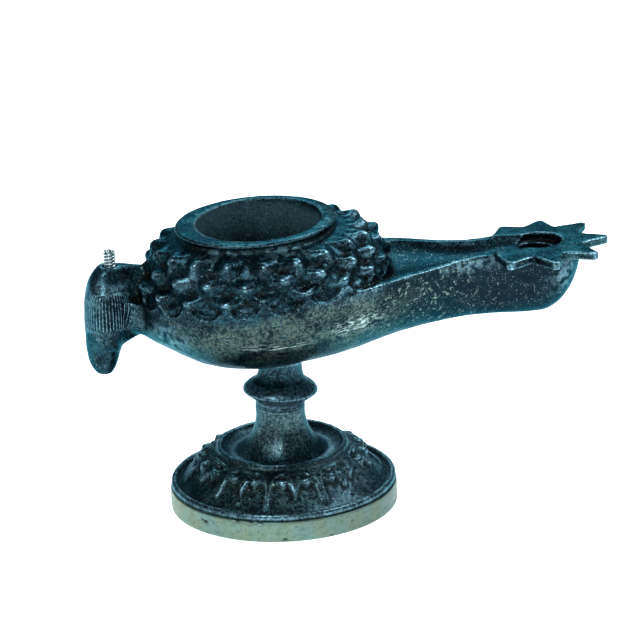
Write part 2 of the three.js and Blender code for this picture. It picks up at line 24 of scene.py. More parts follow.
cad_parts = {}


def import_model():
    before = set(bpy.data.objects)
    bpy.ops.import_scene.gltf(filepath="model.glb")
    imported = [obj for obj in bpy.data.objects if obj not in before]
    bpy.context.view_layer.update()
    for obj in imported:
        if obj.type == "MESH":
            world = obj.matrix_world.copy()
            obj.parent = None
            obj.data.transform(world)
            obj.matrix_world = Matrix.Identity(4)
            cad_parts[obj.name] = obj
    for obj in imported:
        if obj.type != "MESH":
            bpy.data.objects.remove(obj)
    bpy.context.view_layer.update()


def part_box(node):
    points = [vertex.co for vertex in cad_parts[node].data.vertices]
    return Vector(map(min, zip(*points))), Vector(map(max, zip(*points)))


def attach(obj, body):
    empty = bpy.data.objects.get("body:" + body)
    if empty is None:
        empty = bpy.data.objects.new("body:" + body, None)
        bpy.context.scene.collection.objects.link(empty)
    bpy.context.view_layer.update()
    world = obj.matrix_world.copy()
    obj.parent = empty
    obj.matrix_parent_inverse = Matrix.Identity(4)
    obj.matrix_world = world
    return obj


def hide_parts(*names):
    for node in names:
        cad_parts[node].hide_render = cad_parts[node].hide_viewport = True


LOG = logging.getLogger("oil_lamp")
MM = 0.001

Array = np.ndarray
Reader = Callable[[Array], Array]
Socket = bpy.types.NodeSocket
Factor = Union[float, Socket]
Patch = tuple[tuple[float, float, float], tuple[float, float, float]]


class Cut(Enum):
    """How one solid is combined with another."""

    JOIN = "UNION"
    TAKE_AWAY = "DIFFERENCE"


class Trace(Enum):
    """What a casting's surface keeps at each of its points, for its finish to read."""

    WEAR = "wear"
    HOLLOW = "hollow"
    OLIVE = "olive"
    FLAKE = "flake"
    BLUISH = "bluish"
    SCRATCH = "scratch"
    INSIDE = "inside"
    SOOT = "soot"
    BELT_WAY = "belt_way"
    BELT = "belt"


def linear(colour: str) -> tuple[float, float, float, float]:
    """Turns an sRGB hex colour to linear light.

    Args:
        colour: six hex digits after a hash sign.

    Returns:
        Red, green, blue and an alpha of 1.
    """
    parts = [int(colour[i : i + 2], 16) / 255 for i in (1, 3, 5)]
    light = [c / 12.92 if c <= 0.04045 else ((c + 0.055) / 1.055) ** 2.4 for c in parts]
    return (light[0], light[1], light[2], 1.0)


def smoothstep(low: float, high: float, value: Array) -> Array:
    """Rises from 0 at low to 1 at high, level at both ends.

    Args:
        low: where the rise starts.
        high: where it ends.
        value: the places to read.

    Returns:
        The height of the rise at each place.
    """
    t = np.clip((value - low) / (high - low), 0.0, 1.0)
    return t * t * (3 - 2 * t)


def bell(value: Array, width: float) -> Array:
    """A smooth bump of height 1 at 0 that has died away at about twice its width."""
    return np.exp(-((value / width) ** 2))


def curve_through(pairs: Sequence[tuple[float, float]]) -> Reader:
    """Makes a smooth curve through points.

    Args:
        pairs: x and value of each point, with x rising.

    Returns:
        A function that reads the curve at an array of x.
    """
    xs = np.array([pair[0] for pair in pairs], dtype=float)
    ys = np.array([pair[1] for pair in pairs], dtype=float)
    slopes = np.gradient(ys, xs)
    slopes[1:-1] = (ys[2:] - ys[:-2]) / (xs[2:] - xs[:-2])

    def read(x: Array) -> Array:
        """Reads the curve at x."""
        place = np.clip(x, xs[0], xs[-1])
        i = np.clip(np.searchsorted(xs, place, side="right") - 1, 0, len(xs) - 2)
        width = xs[i + 1] - xs[i]
        t = (place - xs[i]) / width
        t2, t3 = t * t, t * t * t
        start = (2 * t3 - 3 * t2 + 1) * ys[i] + (t3 - 2 * t2 + t) * width * slopes[i]
        end = (3 * t2 - 2 * t3) * ys[i + 1] + (t3 - t2) * width * slopes[i + 1]
        return start + end

    return read


def points_of(bm: bmesh.types.BMesh) -> Array:
    """The places of a bmesh's vertices, one row each."""
    return np.array([v.co[:] for v in bm.verts], dtype=float)


def move_points(bm: bmesh.types.BMesh, points: Array) -> None:
    """Puts the vertices of a bmesh at the rows of an array."""
    for vertex, point in zip(bm.verts, points):
        vertex.co = point


def drawn(bm: bmesh.types.BMesh, name: str) -> bpy.types.Object:
    """Turns a closed bmesh to an object with its faces outwards.

    Args:
        bm: the shape, which is freed.
        name: the object's name.

    Returns:
        The object, in the scene.
    """
    bmesh.ops.remove_doubles(bm, verts=bm.verts, dist=1e-4)
    bmesh.ops.recalc_face_normals(bm, faces=bm.faces)
    mesh = bpy.data.meshes.new(name)
    bm.to_mesh(mesh)
    bm.free()
    shape = bpy.data.objects.new(name, mesh)
    bpy.context.scene.collection.objects.link(shape)
    return shape


def turned(profile: Sequence[tuple[float, float]], steps: int) -> bmesh.types.BMesh:
    """Spins a profile round Z.

    Args:
        profile: radius and height of each point.
        steps: how many faces go round.

    Returns:
        The closed shape.
    """
    bm = bmesh.new()
    line = [bm.verts.new((radius, 0.0, height)) for radius, height in profile]
    edges = [bm.edges.new(pair) for pair in zip(line, line[1:])]
    bmesh.ops.spin(
        bm,
        geom=line + edges,
        cent=(0, 0, 0),
        axis=(0, 0, 1),
        dvec=(0, 0, 0),
        angle=math.tau,
        steps=steps,
        use_merge=True,
        use_duplicate=False,
    )
    bmesh.ops.remove_doubles(bm, verts=bm.verts, dist=1e-4)
    bmesh.ops.recalc_face_normals(bm, faces=bm.faces)
    return bm


def filled_in(profile: Sequence[tuple[float, float]], step: float) -> list[tuple[float, float]]:
    """Adds points along a profile's straight runs.

    Args:
        profile: radius and height of each corner.
        step: the longest run that is left.

    Returns:
        The profile with its added points.
    """
    full = [profile[0]]
    for (r0, z0), (r1, z1) in zip(profile, profile[1:]):
        count = max(1, math.ceil(math.hypot(r1 - r0, z1 - z0) / step))
        for i in range(1, count + 1):
            full.append((r0 + (r1 - r0) * i / count, z0 + (z1 - z0) * i / count))
    return full


def rounded_off(profile: Sequence[tuple[float, float]], rounds: int) -> list[tuple[float, float]]:
    """Cuts the corners of a profile again and again, so that it becomes a smooth curve.

    Args:
        profile: radius and height of each corner; the two ends stay.
        rounds: how many times the corners are cut.

    Returns:
        The smooth profile.
    """
    line = list(profile)
    for _ in range(rounds):
        cut = [line[0]]
        for (r0, z0), (r1, z1) in zip(line, line[1:]):
            cut.append((r0 * 0.75 + r1 * 0.25, z0 * 0.75 + z1 * 0.25))
            cut.append((r0 * 0.25 + r1 * 0.75, z0 * 0.25 + z1 * 0.75))
        cut.append(line[-1])
        line = cut
    return line


def baked(shape: bpy.types.Object) -> None:
    """Applies the modifiers of an object to its mesh."""
    graph = bpy.context.evaluated_depsgraph_get()
    mesh = bpy.data.meshes.new_from_object(shape.evaluated_get(graph))
    old = shape.data
    shape.modifiers.clear()
    shape.data = mesh
    mesh.name = shape.name
    bpy.data.meshes.remove(old)


def combine(shape: bpy.types.Object, tool: bpy.types.Object, cut: Cut) -> None:
    """Joins a tool to a solid or cuts it away, and removes the tool.

    Args:
        shape: the solid that is changed.
        tool: the other closed solid.
        cut: whether it is joined or taken away.
    """
    modifier = shape.modifiers.new("combine", "BOOLEAN")
    modifier.operation = cut.value
    modifier.object = tool
    modifier.solver = "MANIFOLD"
    baked(shape)
    mesh = tool.data
    bpy.data.objects.remove(tool)
    bpy.data.meshes.remove(mesh)


def fused(shape: bpy.types.Object, voxel: float) -> None:
    """Makes one even skin round a shape, as a casting has, in voxels of that size."""
    modifier = shape.modifiers.new("fuse", "REMESH")
    modifier.mode = "VOXEL"
    modifier.voxel_size = voxel
    modifier.adaptivity = 0.0
    baked(shape)


def thinned(shape: bpy.types.Object, triangles: int) -> None:
    """Thins a mesh out where it is smooth, down to a number of triangles."""
    shape.data.calc_loop_triangles()
    share = triangles / max(1, len(shape.data.loop_triangles))
    if share >= 1:
        return
    modifier = shape.modifiers.new("thin", "DECIMATE")
    modifier.decimate_type = "COLLAPSE"
    modifier.ratio = share
    modifier.use_collapse_triangulate = True
    baked(shape)


class Surface:
    """The vertices of a mesh as arrays, for relief and for reading where it is worn."""

    def __init__(self, mesh: bpy.types.Mesh) -> None:
        """Reads the mesh.

        Args:
            mesh: the mesh, which write() changes.
        """
        self.mesh = mesh
        count = len(mesh.vertices)
        flat = np.empty(count * 3)
        mesh.vertices.foreach_get("co", flat)
        self.points = flat.reshape(-1, 3)
        pairs = np.empty(len(mesh.edges) * 2, dtype=np.int32)
        mesh.edges.foreach_get("vertices", pairs)
        self.edges = pairs.reshape(-1, 2)
        self.neighbours = np.maximum(1, np.bincount(pairs, minlength=count))

    def normals(self) -> Array:
        """The way that each vertex faces."""
        flat = np.empty(len(self.mesh.vertices) * 3)
        self.mesh.vertex_normals.foreach_get("vector", flat)
        return flat.reshape(-1, 3)

    def softened(self, values: Array, rounds: int) -> Array:
        """Averages values with those of their neighbours.

        Args:
            values: one row for each vertex.
            rounds: how many times.

        Returns:
            The averaged values.
        """
        first, second = self.edges[:, 0], self.edges[:, 1]
        count = len(self.neighbours)
        result = values.copy()
        for _ in range(rounds):
            columns = []
            for column in result.T:
                total = np.bincount(first, weights=column[second], minlength=count)
                total += np.bincount(second, weights=column[first], minlength=count)
                columns.append(0.5 * column + 0.5 * total / self.neighbours)
            result = np.stack(columns, axis=1)
        return result

    def standing_out(self, rounds: int) -> Array:
        """How far each point stands out from the surface round it, in millimetres."""
        away = self.points - self.softened(self.points, rounds)
        return np.einsum("ij,ij->i", away, self.normals())

    def near_patches(self, patches: Sequence[Patch]) -> Array:
        """How near each point is to patches.

        Args:
            patches: the middle and the reach of each.

        Returns:
            From 1 in the middle of a patch to 0 far from all.
        """
        near = np.zeros(len(self.points))
        for place, reach in patches:
            away = (self.points - place) / reach
            near = np.maximum(near, np.exp(-(away**2).sum(axis=1)))
        return near

    def write(self) -> None:
        """Puts the changed places into the mesh."""
        self.mesh.vertices.foreach_set("co", self.points.ravel())
        self.mesh.update()


def rough(points: Array, size: float, seed: float) -> Array:
    """Smooth noise between about -1 and 1.

    Args:
        points: the places, one row each.
        size: the size of its lumps, in millimetres.
        seed: moves the noise to another part of its field.

    Returns:
        The noise at each place.
    """
    moved = points / size + seed
    return np.array([noise.noise(row) for row in moved.tolist()])


def keep_trace(mesh: bpy.types.Mesh, trace: Trace, values: Array) -> None:
    """Stores one number for each vertex of a mesh.

    Args:
        mesh: the mesh.
        trace: what the numbers stand for.
        values: the numbers.
    """
    layer = mesh.attributes.new(trace.value, "FLOAT", "POINT")
    layer.data.foreach_set("value", values.astype(np.float32))


def traced(mesh: bpy.types.Mesh, places: Array, traces: dict[Trace, Array]) -> None:
    """Gives a thinned mesh the traces that were read on its full surface.

    Args:
        mesh: the thinned mesh.
        places: the places of the full surface's vertices.
        traces: their numbers.
    """
    tree = KDTree(len(places))
    for i, place in enumerate(places.tolist()):
        tree.insert(place, i)
    tree.balance()
    nearest = np.array([tree.find(v.co)[1] for v in mesh.vertices])
    for trace, values in traces.items():
        keep_trace(mesh, trace, values[nearest])


@dataclass(frozen=True)
class Frame:
    """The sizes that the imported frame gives, in millimetres."""

    disc_radius: float
    disc_height: float
    foot_radius: float
    lamp_low: float
    nozzle_tip: float
    lamp_top: float
    rear_end: float
    stud_radius: float
    stud_top: float
    stud_x: float

    @classmethod
    def read(cls) -> Frame:
        """Reads the boxes of the frame's nodes."""
        disc, foot, lamp, stud = (
            [np.array(corner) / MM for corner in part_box(node)]
            for node in ("base_disc", "pedestal", "lamp_body", "threaded_stud")
        )
        return cls(
            disc_radius=float(disc[1][0] - disc[0][0]) / 2,
            disc_height=float(foot[0][2]),
            foot_radius=float(foot[1][0] - foot[0][0]) / 2,
            lamp_low=float(lamp[0][2]) + 0.6,
            nozzle_tip=float(lamp[1][0]),
            lamp_top=float(lamp[1][2]),
            rear_end=float(lamp[0][0]),
            stud_radius=float(stud[1][1] - stud[0][1]) / 2,
            stud_top=float(stud[1][2]),
            stud_x=float(stud[0][0] + stud[1][0]) / 2,
        )


def placed(shape: bpy.types.Object, node: str, material: bpy.types.Material) -> None:
    """Hands a finished piece over to the frame, in metres.

    Args:
        shape: the piece, still in millimetres.
        node: the frame's node that it stands for.
        material: its finish.
    """
    shape.data.transform(Matrix.Scale(MM, 4))
    shape.data.shade_smooth()
    shape.data.materials.clear()
    shape.data.materials.append(material)
    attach(shape, "root")
    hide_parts(node)
    shape.data.calc_loop_triangles()
    LOG.info("%s: %d triangles", shape.name, len(shape.data.loop_triangles))


def add_node(
    tree: bpy.types.NodeTree,
    kind: str,
    inputs: dict[str | int, object] | None = None,
    **settings: object,
) -> bpy.types.Node:
    """Adds a node with its settings, values and links.

    Args:
        tree: the node tree.
        kind: the node's type.
        inputs: a value, or the socket that leads in, for each input by name or number.
        settings: the node's own properties.

    Returns:
        The node.
    """
    node = tree.nodes.new(kind)
    for name, value in settings.items():
        setattr(node, name, value)
    for key, value in (inputs or {}).items():
        socket = node.inputs[key]
        if isinstance(value, bpy.types.NodeSocket):
            tree.links.new(value, socket)
        else:
            socket.default_value = value
    return node


@dataclass(frozen=True)
class Lumps:
    """Noise whose lumps have a real size, in millimetres."""

    size: float
    detail: float = 3.0
    seed: float = 0.0
    stretch: tuple[float, float, float] = (1.0, 1.0, 1.0)


@dataclass(frozen=True)
class Spread:
    """The part of a pattern between two of its values, spread over a new range."""

    pattern: Socket
    low: float
    high: float
    start: float = 0.0
    end: float = 1.0


class Finish:
    """A finish in the making: its patterns, a casting's traces and its coats of colour."""

    def __init__(self, name: str) -> None:
        """Starts a material.

        Args:
            name: the finish's name.
        """
        self.material = bpy.data.materials.new(name)
        self.material.use_nodes = True
        self.tree = self.material.node_tree
        self.tree.nodes.clear()

    def patterns(self, lumps: dict[str, Lumps]) -> dict[str, Socket]:
        """Lays noise over the piece.

        Args:
            lumps: each pattern's noise.

        Returns:
            A number around 0.5 for each pattern.
        """
        place = add_node(self.tree, "ShaderNodeTexCoord").outputs["Object"]
        found = {}
        for name, lump in lumps.items():
            inputs = {"Vector": place, "Scale": lump.stretch, "Location": (lump.seed,) * 3}
            moved = add_node(self.tree, "ShaderNodeMapping", inputs).outputs[0]
            inputs = {"Vector": moved, "Scale": 1 / (lump.size * MM), "Detail": lump.detail}
            inputs["Roughness"] = 0.6
            found[name] = add_node(self.tree, "ShaderNodeTexNoise", inputs).outputs[0]
        return found

    def traces(self, *kept: Trace) -> dict[Trace, Socket]:
        """Reads a piece's traces; one that it doesn't keep reads 0."""
        found = {}
        for trace in kept:
            node = add_node(self.tree, "ShaderNodeAttribute", attribute_name=trace.value)
            found[trace] = node.outputs["Fac"]
        return found

    def spread_out(self, spreads: dict[str, Spread]) -> dict[str, Socket]:
        """Spreads parts of patterns over new ranges, with soft ends.

        Args:
            spreads: what is spread, by name.

        Returns:
            A number within its range for each.
        """
        found = {}
        for name, spread in spreads.items():
            inputs = {"Value": spread.pattern, "From Min": spread.low, "From Max": spread.high}
            inputs.update({"To Min": spread.start, "To Max": spread.end})
            node = add_node(
                self.tree, "ShaderNodeMapRange", inputs, interpolation_type="SMOOTHSTEP"
            )
            found[name] = node.outputs[0]
        return found

    def coated(self, base: str, coats: Sequence[tuple[str, tuple[Factor, ...]]]) -> Socket:
        """Lays coats of colour over a base.

        Args:
            base: the lowest colour.
            coats: each coat's colour, and the factors that make up how much of it there is.

        Returns:
            The colour's socket.
        """
        colour = linear(base)
        for coat, factors in coats:
            share = factors[0]
            for factor in factors[1:]:
                inputs = {0: share, 1: factor}
                share = add_node(
                    self.tree, "ShaderNodeMath", inputs, operation="MULTIPLY"
                ).outputs[0]
            inputs = {0: share, 6: colour, 7: linear(coat)}
            colour = add_node(self.tree, "ShaderNodeMix", inputs, data_type="RGBA").outputs[2]
        return colour

    def finished(self, inputs: dict[str, object]) -> bpy.types.Material:
        """Ends the material in a shader.

        Args:
            inputs: the shader's values and links.

        Returns:
            The material.
        """
        shader = add_node(self.tree, "ShaderNodeBsdfPrincipled", inputs)
        add_node(self.tree, "ShaderNodeOutputMaterial", {"Surface": shader.outputs[0]})
        return self.material


@dataclass(frozen=True)
class PatinatedBronze:
    """Cast bronze under a blue-black patina.

    Old oil and handling left it dark and half glossy, finely mottled between black and teal.
    Raised parts are rubbed to a lighter blue grey, and listed patches are lightened to the same
    blue. The same colour is also painted on as highlight where light falls: on the knobs towards
    the spout, on the right of the foot's dish and leaves, and along the belt's worn edges.
    Hollows keep brown dirt. Painted shade darkens the spout's side and the lamp's underside. The
    hull has an olive haze and pale green flakes, and there are fine bright specks all over. The
    sand grain of such a casting is finer than shows, so it is drawn about twice as coarse.
    """

    name: str = "patinated_cast_bronze"
    dark: str = "#0d1a20"
    teal: str = "#2a4c56"
    olive: str = "#4f5c4e"
    flake: str = "#70887b"
    dust: str = "#4a6a72"
    brown: str = "#12110b"
    rubbed: str = "#8fbccb"
    speck: str = "#b4c9c6"
    edge_tint: str = "#a3cbd8"
    metallic: float = 0.96
    dull_inside: float = 0.75
    grain_size: float = 0.9
    grain_depth: float = 0.11
    belt_pitch: float = 0.95
    belt_depth: float = 0.34

    def material(self) -> bpy.types.Material:
        """Builds the material."""
        finish = Finish(self.name)
        tree = finish.tree
        noises = finish.patterns(
            {
                "clouds": Lumps(8.0, 5.0),
                "patches": Lumps(2.4, 6.0, 3.1),
                "flakes": Lumps(1.2, 4.0, 8.6),
                "grain": Lumps(self.grain_size, 3.0, 7.7),
                "streaks": Lumps(0.9, 2.0, 4.4, (0.14, 1.0, 1.6)),
                "specks": Lumps(0.4, 2.0, 1.9),
                "sand": Lumps(0.35, 2.0, 6.3),
            }
        )
        kept = finish.traces(*Trace)
        grain, patches, specks = noises["grain"], noises["patches"], noises["specks"]
        tone = add_node(tree, "ShaderNodeMath", {0: noises["clouds"], 1: grain}, operation="ADD")
        turns = {0: kept[Trace.BELT_WAY], 1: math.tau / self.belt_pitch}
        around = add_node(tree, "ShaderNodeMath", turns, operation="MULTIPLY")
        ridges = add_node(tree, "ShaderNodeMath", {0: around.outputs[0]}, operation="SINE")
        parts = finish.spread_out(
            {
                "teal": Spread(tone.outputs[0], 0.86, 1.28),
                "dust": Spread(grain, 0.2, 0.8, 0.4, 0.8),
                "haze": Spread(noises["clouds"], 0.34, 0.6),
                "broken_haze": Spread(grain, 0.42, 0.56, 0.085, 0.85),
                "flakes": Spread(noises["flakes"], 0.56, 0.63),
                "flaked": Spread(patches, 0.42, 0.55, 0.0, 0.8),
                "dirt": Spread(grain, 0.25, 0.6, 0.7, 1.0),
                "rubbing": Spread(grain, 0.35, 0.62, 0.2, 1.0),
                "bluish": Spread(patches, 0.42, 0.6, 0.0, 0.45),
                "streaks": Spread(noises["streaks"], 0.53, 0.6),
                "dots": Spread(specks, 0.36, 0.52, 0.45, 0.0),
                "specks": Spread(specks, 0.6, 0.7, 0.0, 0.4),
                "specked": Spread(patches, 0.4, 0.6),
                "crests": Spread(ridges.outputs[0], 0.2, 1.0),
                "worn_crests": Spread(grain, 0.35, 0.6, 0.1, 0.6),
                "roughness": Spread(grain, 0.3, 0.7, 0.24, 0.42),
            }
        )
        worn_and_lit = {0: kept[Trace.WEAR], 1: parts["rubbing"]}
        patch = {0: kept[Trace.BLUISH], 1: parts["bluish"]}
        both = {
            i: add_node(tree, "ShaderNodeMath", inputs, operation="MULTIPLY").outputs[0]
            for i, inputs in enumerate((worn_and_lit, patch))
        }
        rubbed = add_node(tree, "ShaderNodeMath", both, operation="MAXIMUM", use_clamp=True)
        colour = finish.coated(
            self.dark,
            (
                (self.teal, (parts["teal"],)),
                # painted shade: the dark colour laid over the spout's side and the lamp's underside
                (self.dark, (kept[Trace.SOOT], 0.85)),
                # dust inside the filler hole, which fades darker downwards as painted shade
                (self.dust, (kept[Trace.INSIDE], parts["dust"])),
                (self.olive, (kept[Trace.OLIVE], parts["haze"], parts["broken_haze"])),
                (self.flake, (kept[Trace.FLAKE], parts["flakes"], parts["flaked"])),
                (self.brown, (kept[Trace.HOLLOW], parts["dirt"])),
                # rubbed wear together with painted highlights and the lightened blue patches
                (self.rubbed, (rubbed.outputs[0],)),
                (self.speck, (kept[Trace.SCRATCH], parts["streaks"])),
                (self.dark, (parts["dots"],)),
                (self.speck, (parts["specks"], parts["specked"])),
                (self.rubbed, (kept[Trace.BELT], parts["crests"], parts["worn_crests"])),
            ),
        )
        roughness = parts["roughness"]
        for trace, rougher in ((Trace.HOLLOW, 0.3), (Trace.INSIDE, 0.25)):
            inputs = {0: kept[trace], 1: rougher, 2: roughness}
            roughness = add_node(
                tree, "ShaderNodeMath", inputs, operation="MULTIPLY_ADD", use_clamp=True
            ).outputs[0]
        metallic = self.metallic
        if self.dull_inside:
            inputs = {0: kept[Trace.INSIDE], 1: -self.dull_inside, 2: metallic}
            metallic = add_node(
                tree, "ShaderNodeMath", inputs, operation="MULTIPLY_ADD"
            ).outputs[0]
        inputs = {0: noises["sand"], 1: 0.35, 2: grain}
        sandy = add_node(tree, "ShaderNodeMath", inputs, operation="MULTIPLY_ADD")
        inputs = {0: ridges.outputs[0], 1: kept[Trace.BELT]}
        belt = add_node(tree, "ShaderNodeMath", inputs, operation="MULTIPLY")
        inputs = {"Height": sandy.outputs[0], "Distance": self.grain_depth * MM, "Strength": 1.0}
        normal = add_node(tree, "ShaderNodeBump", inputs).outputs[0]
        inputs = {"Height": belt.outputs[0], "Distance": self.belt_depth * MM, "Strength": 1.0}
        normal = add_node(tree, "ShaderNodeBump", {**inputs, "Normal": normal}).outputs[0]
        return finish.finished(
            {
                "Base Color": colour,
                "Metallic": metallic,
                "Specular Tint": linear(self.edge_tint),
                "Roughness": roughness,
                "Normal": normal,
            }
        )


@dataclass(frozen=True)
class BareBand:
    """Bare turned metal, a pale grey green.

    It was finished on a lathe and has faint turning lines, small dark pits and a dull gloss,
    and one side has a painted dark reflection that darkens it.
    """

    name: str = "bare_turned_brass"
    pale: str = "#708b83"
    tan: str = "#768770"
    stain: str = "#33403e"
    pit: str = "#232b29"
    metallic: float = 0.75
    line_depth: float = 0.05

    def material(self) -> bpy.types.Material:
        """Builds the material."""
        finish = Finish(self.name)
        noises = finish.patterns(
            {
                "clouds": Lumps(7.0, 4.0, 0.0, (1.0, 1.0, 0.6)),
                "lines": Lumps(1.1, 4.0, 2.2, (0.6, 0.6, 1.3)),
                "spots": Lumps(0.6, 3.0, 5.5),
            }
        )
        lines, spots = noises["lines"], noises["spots"]
        kept = finish.traces(Trace.HOLLOW, Trace.SOOT)
        parts = finish.spread_out(
            {
                "tan": Spread(noises["clouds"], 0.38, 0.62),
                "lines": Spread(lines, 0.45, 0.8, 0.0, 0.45),
                "spots": Spread(spots, 0.56, 0.7, 0.0, 0.6),
                "roughness": Spread(lines, 0.3, 0.7, 0.36, 0.5),
            }
        )
        colour = finish.coated(
            self.pale,
            (
                (self.tan, (parts["tan"],)),
                # painted dark reflection on one side of the band
                (self.stain, (kept[Trace.SOOT], 0.42)),
                (self.stain, (parts["lines"],)),
                (self.stain, (parts["spots"],)),
                (self.pit, (kept[Trace.HOLLOW],)),
            ),
        )
        height = add_node(finish.tree, "ShaderNodeMath", {0: lines, 1: spots}, operation="ADD")
        inputs = {"Height": height.outputs[0], "Distance": self.line_depth * MM, "Strength": 1.0}
        return finish.finished(
            {
                "Base Color": colour,
                "Metallic": self.metallic,
                "Roughness": parts["roughness"],
                "Normal": add_node(finish.tree, "ShaderNodeBump", inputs).outputs[0],
            }
        )


@dataclass(frozen=True)
class BrightSteel:
    """Plain bright steel, rolled thread, a little dulled in its grooves."""

    name: str = "bright_plain_steel"
    bright: str = "#b9c4c6"
    dull: str = "#6f7f84"
    groove: str = "#2f3a3d"

    def material(self) -> bpy.types.Material:
        """Builds the material."""
        finish = Finish(self.name)
        grain = finish.patterns({"grain": Lumps(0.5, 2.0)})["grain"]
        deep = finish.traces(Trace.HOLLOW)[Trace.HOLLOW]
        parts = finish.spread_out(
            {
                "dull": Spread(grain, 0.42, 0.7),
                "roughness": Spread(grain, 0.3, 0.7, 0.22, 0.38),
            }
        )
        coats = ((self.dull, (parts["dull"],)), (self.groove, (deep,)))
        return finish.finished(
            {
                "Base Color": finish.coated(self.bright, coats),
                "Metallic": 1.0,
                "Roughness": parts["roughness"],
            }
        )


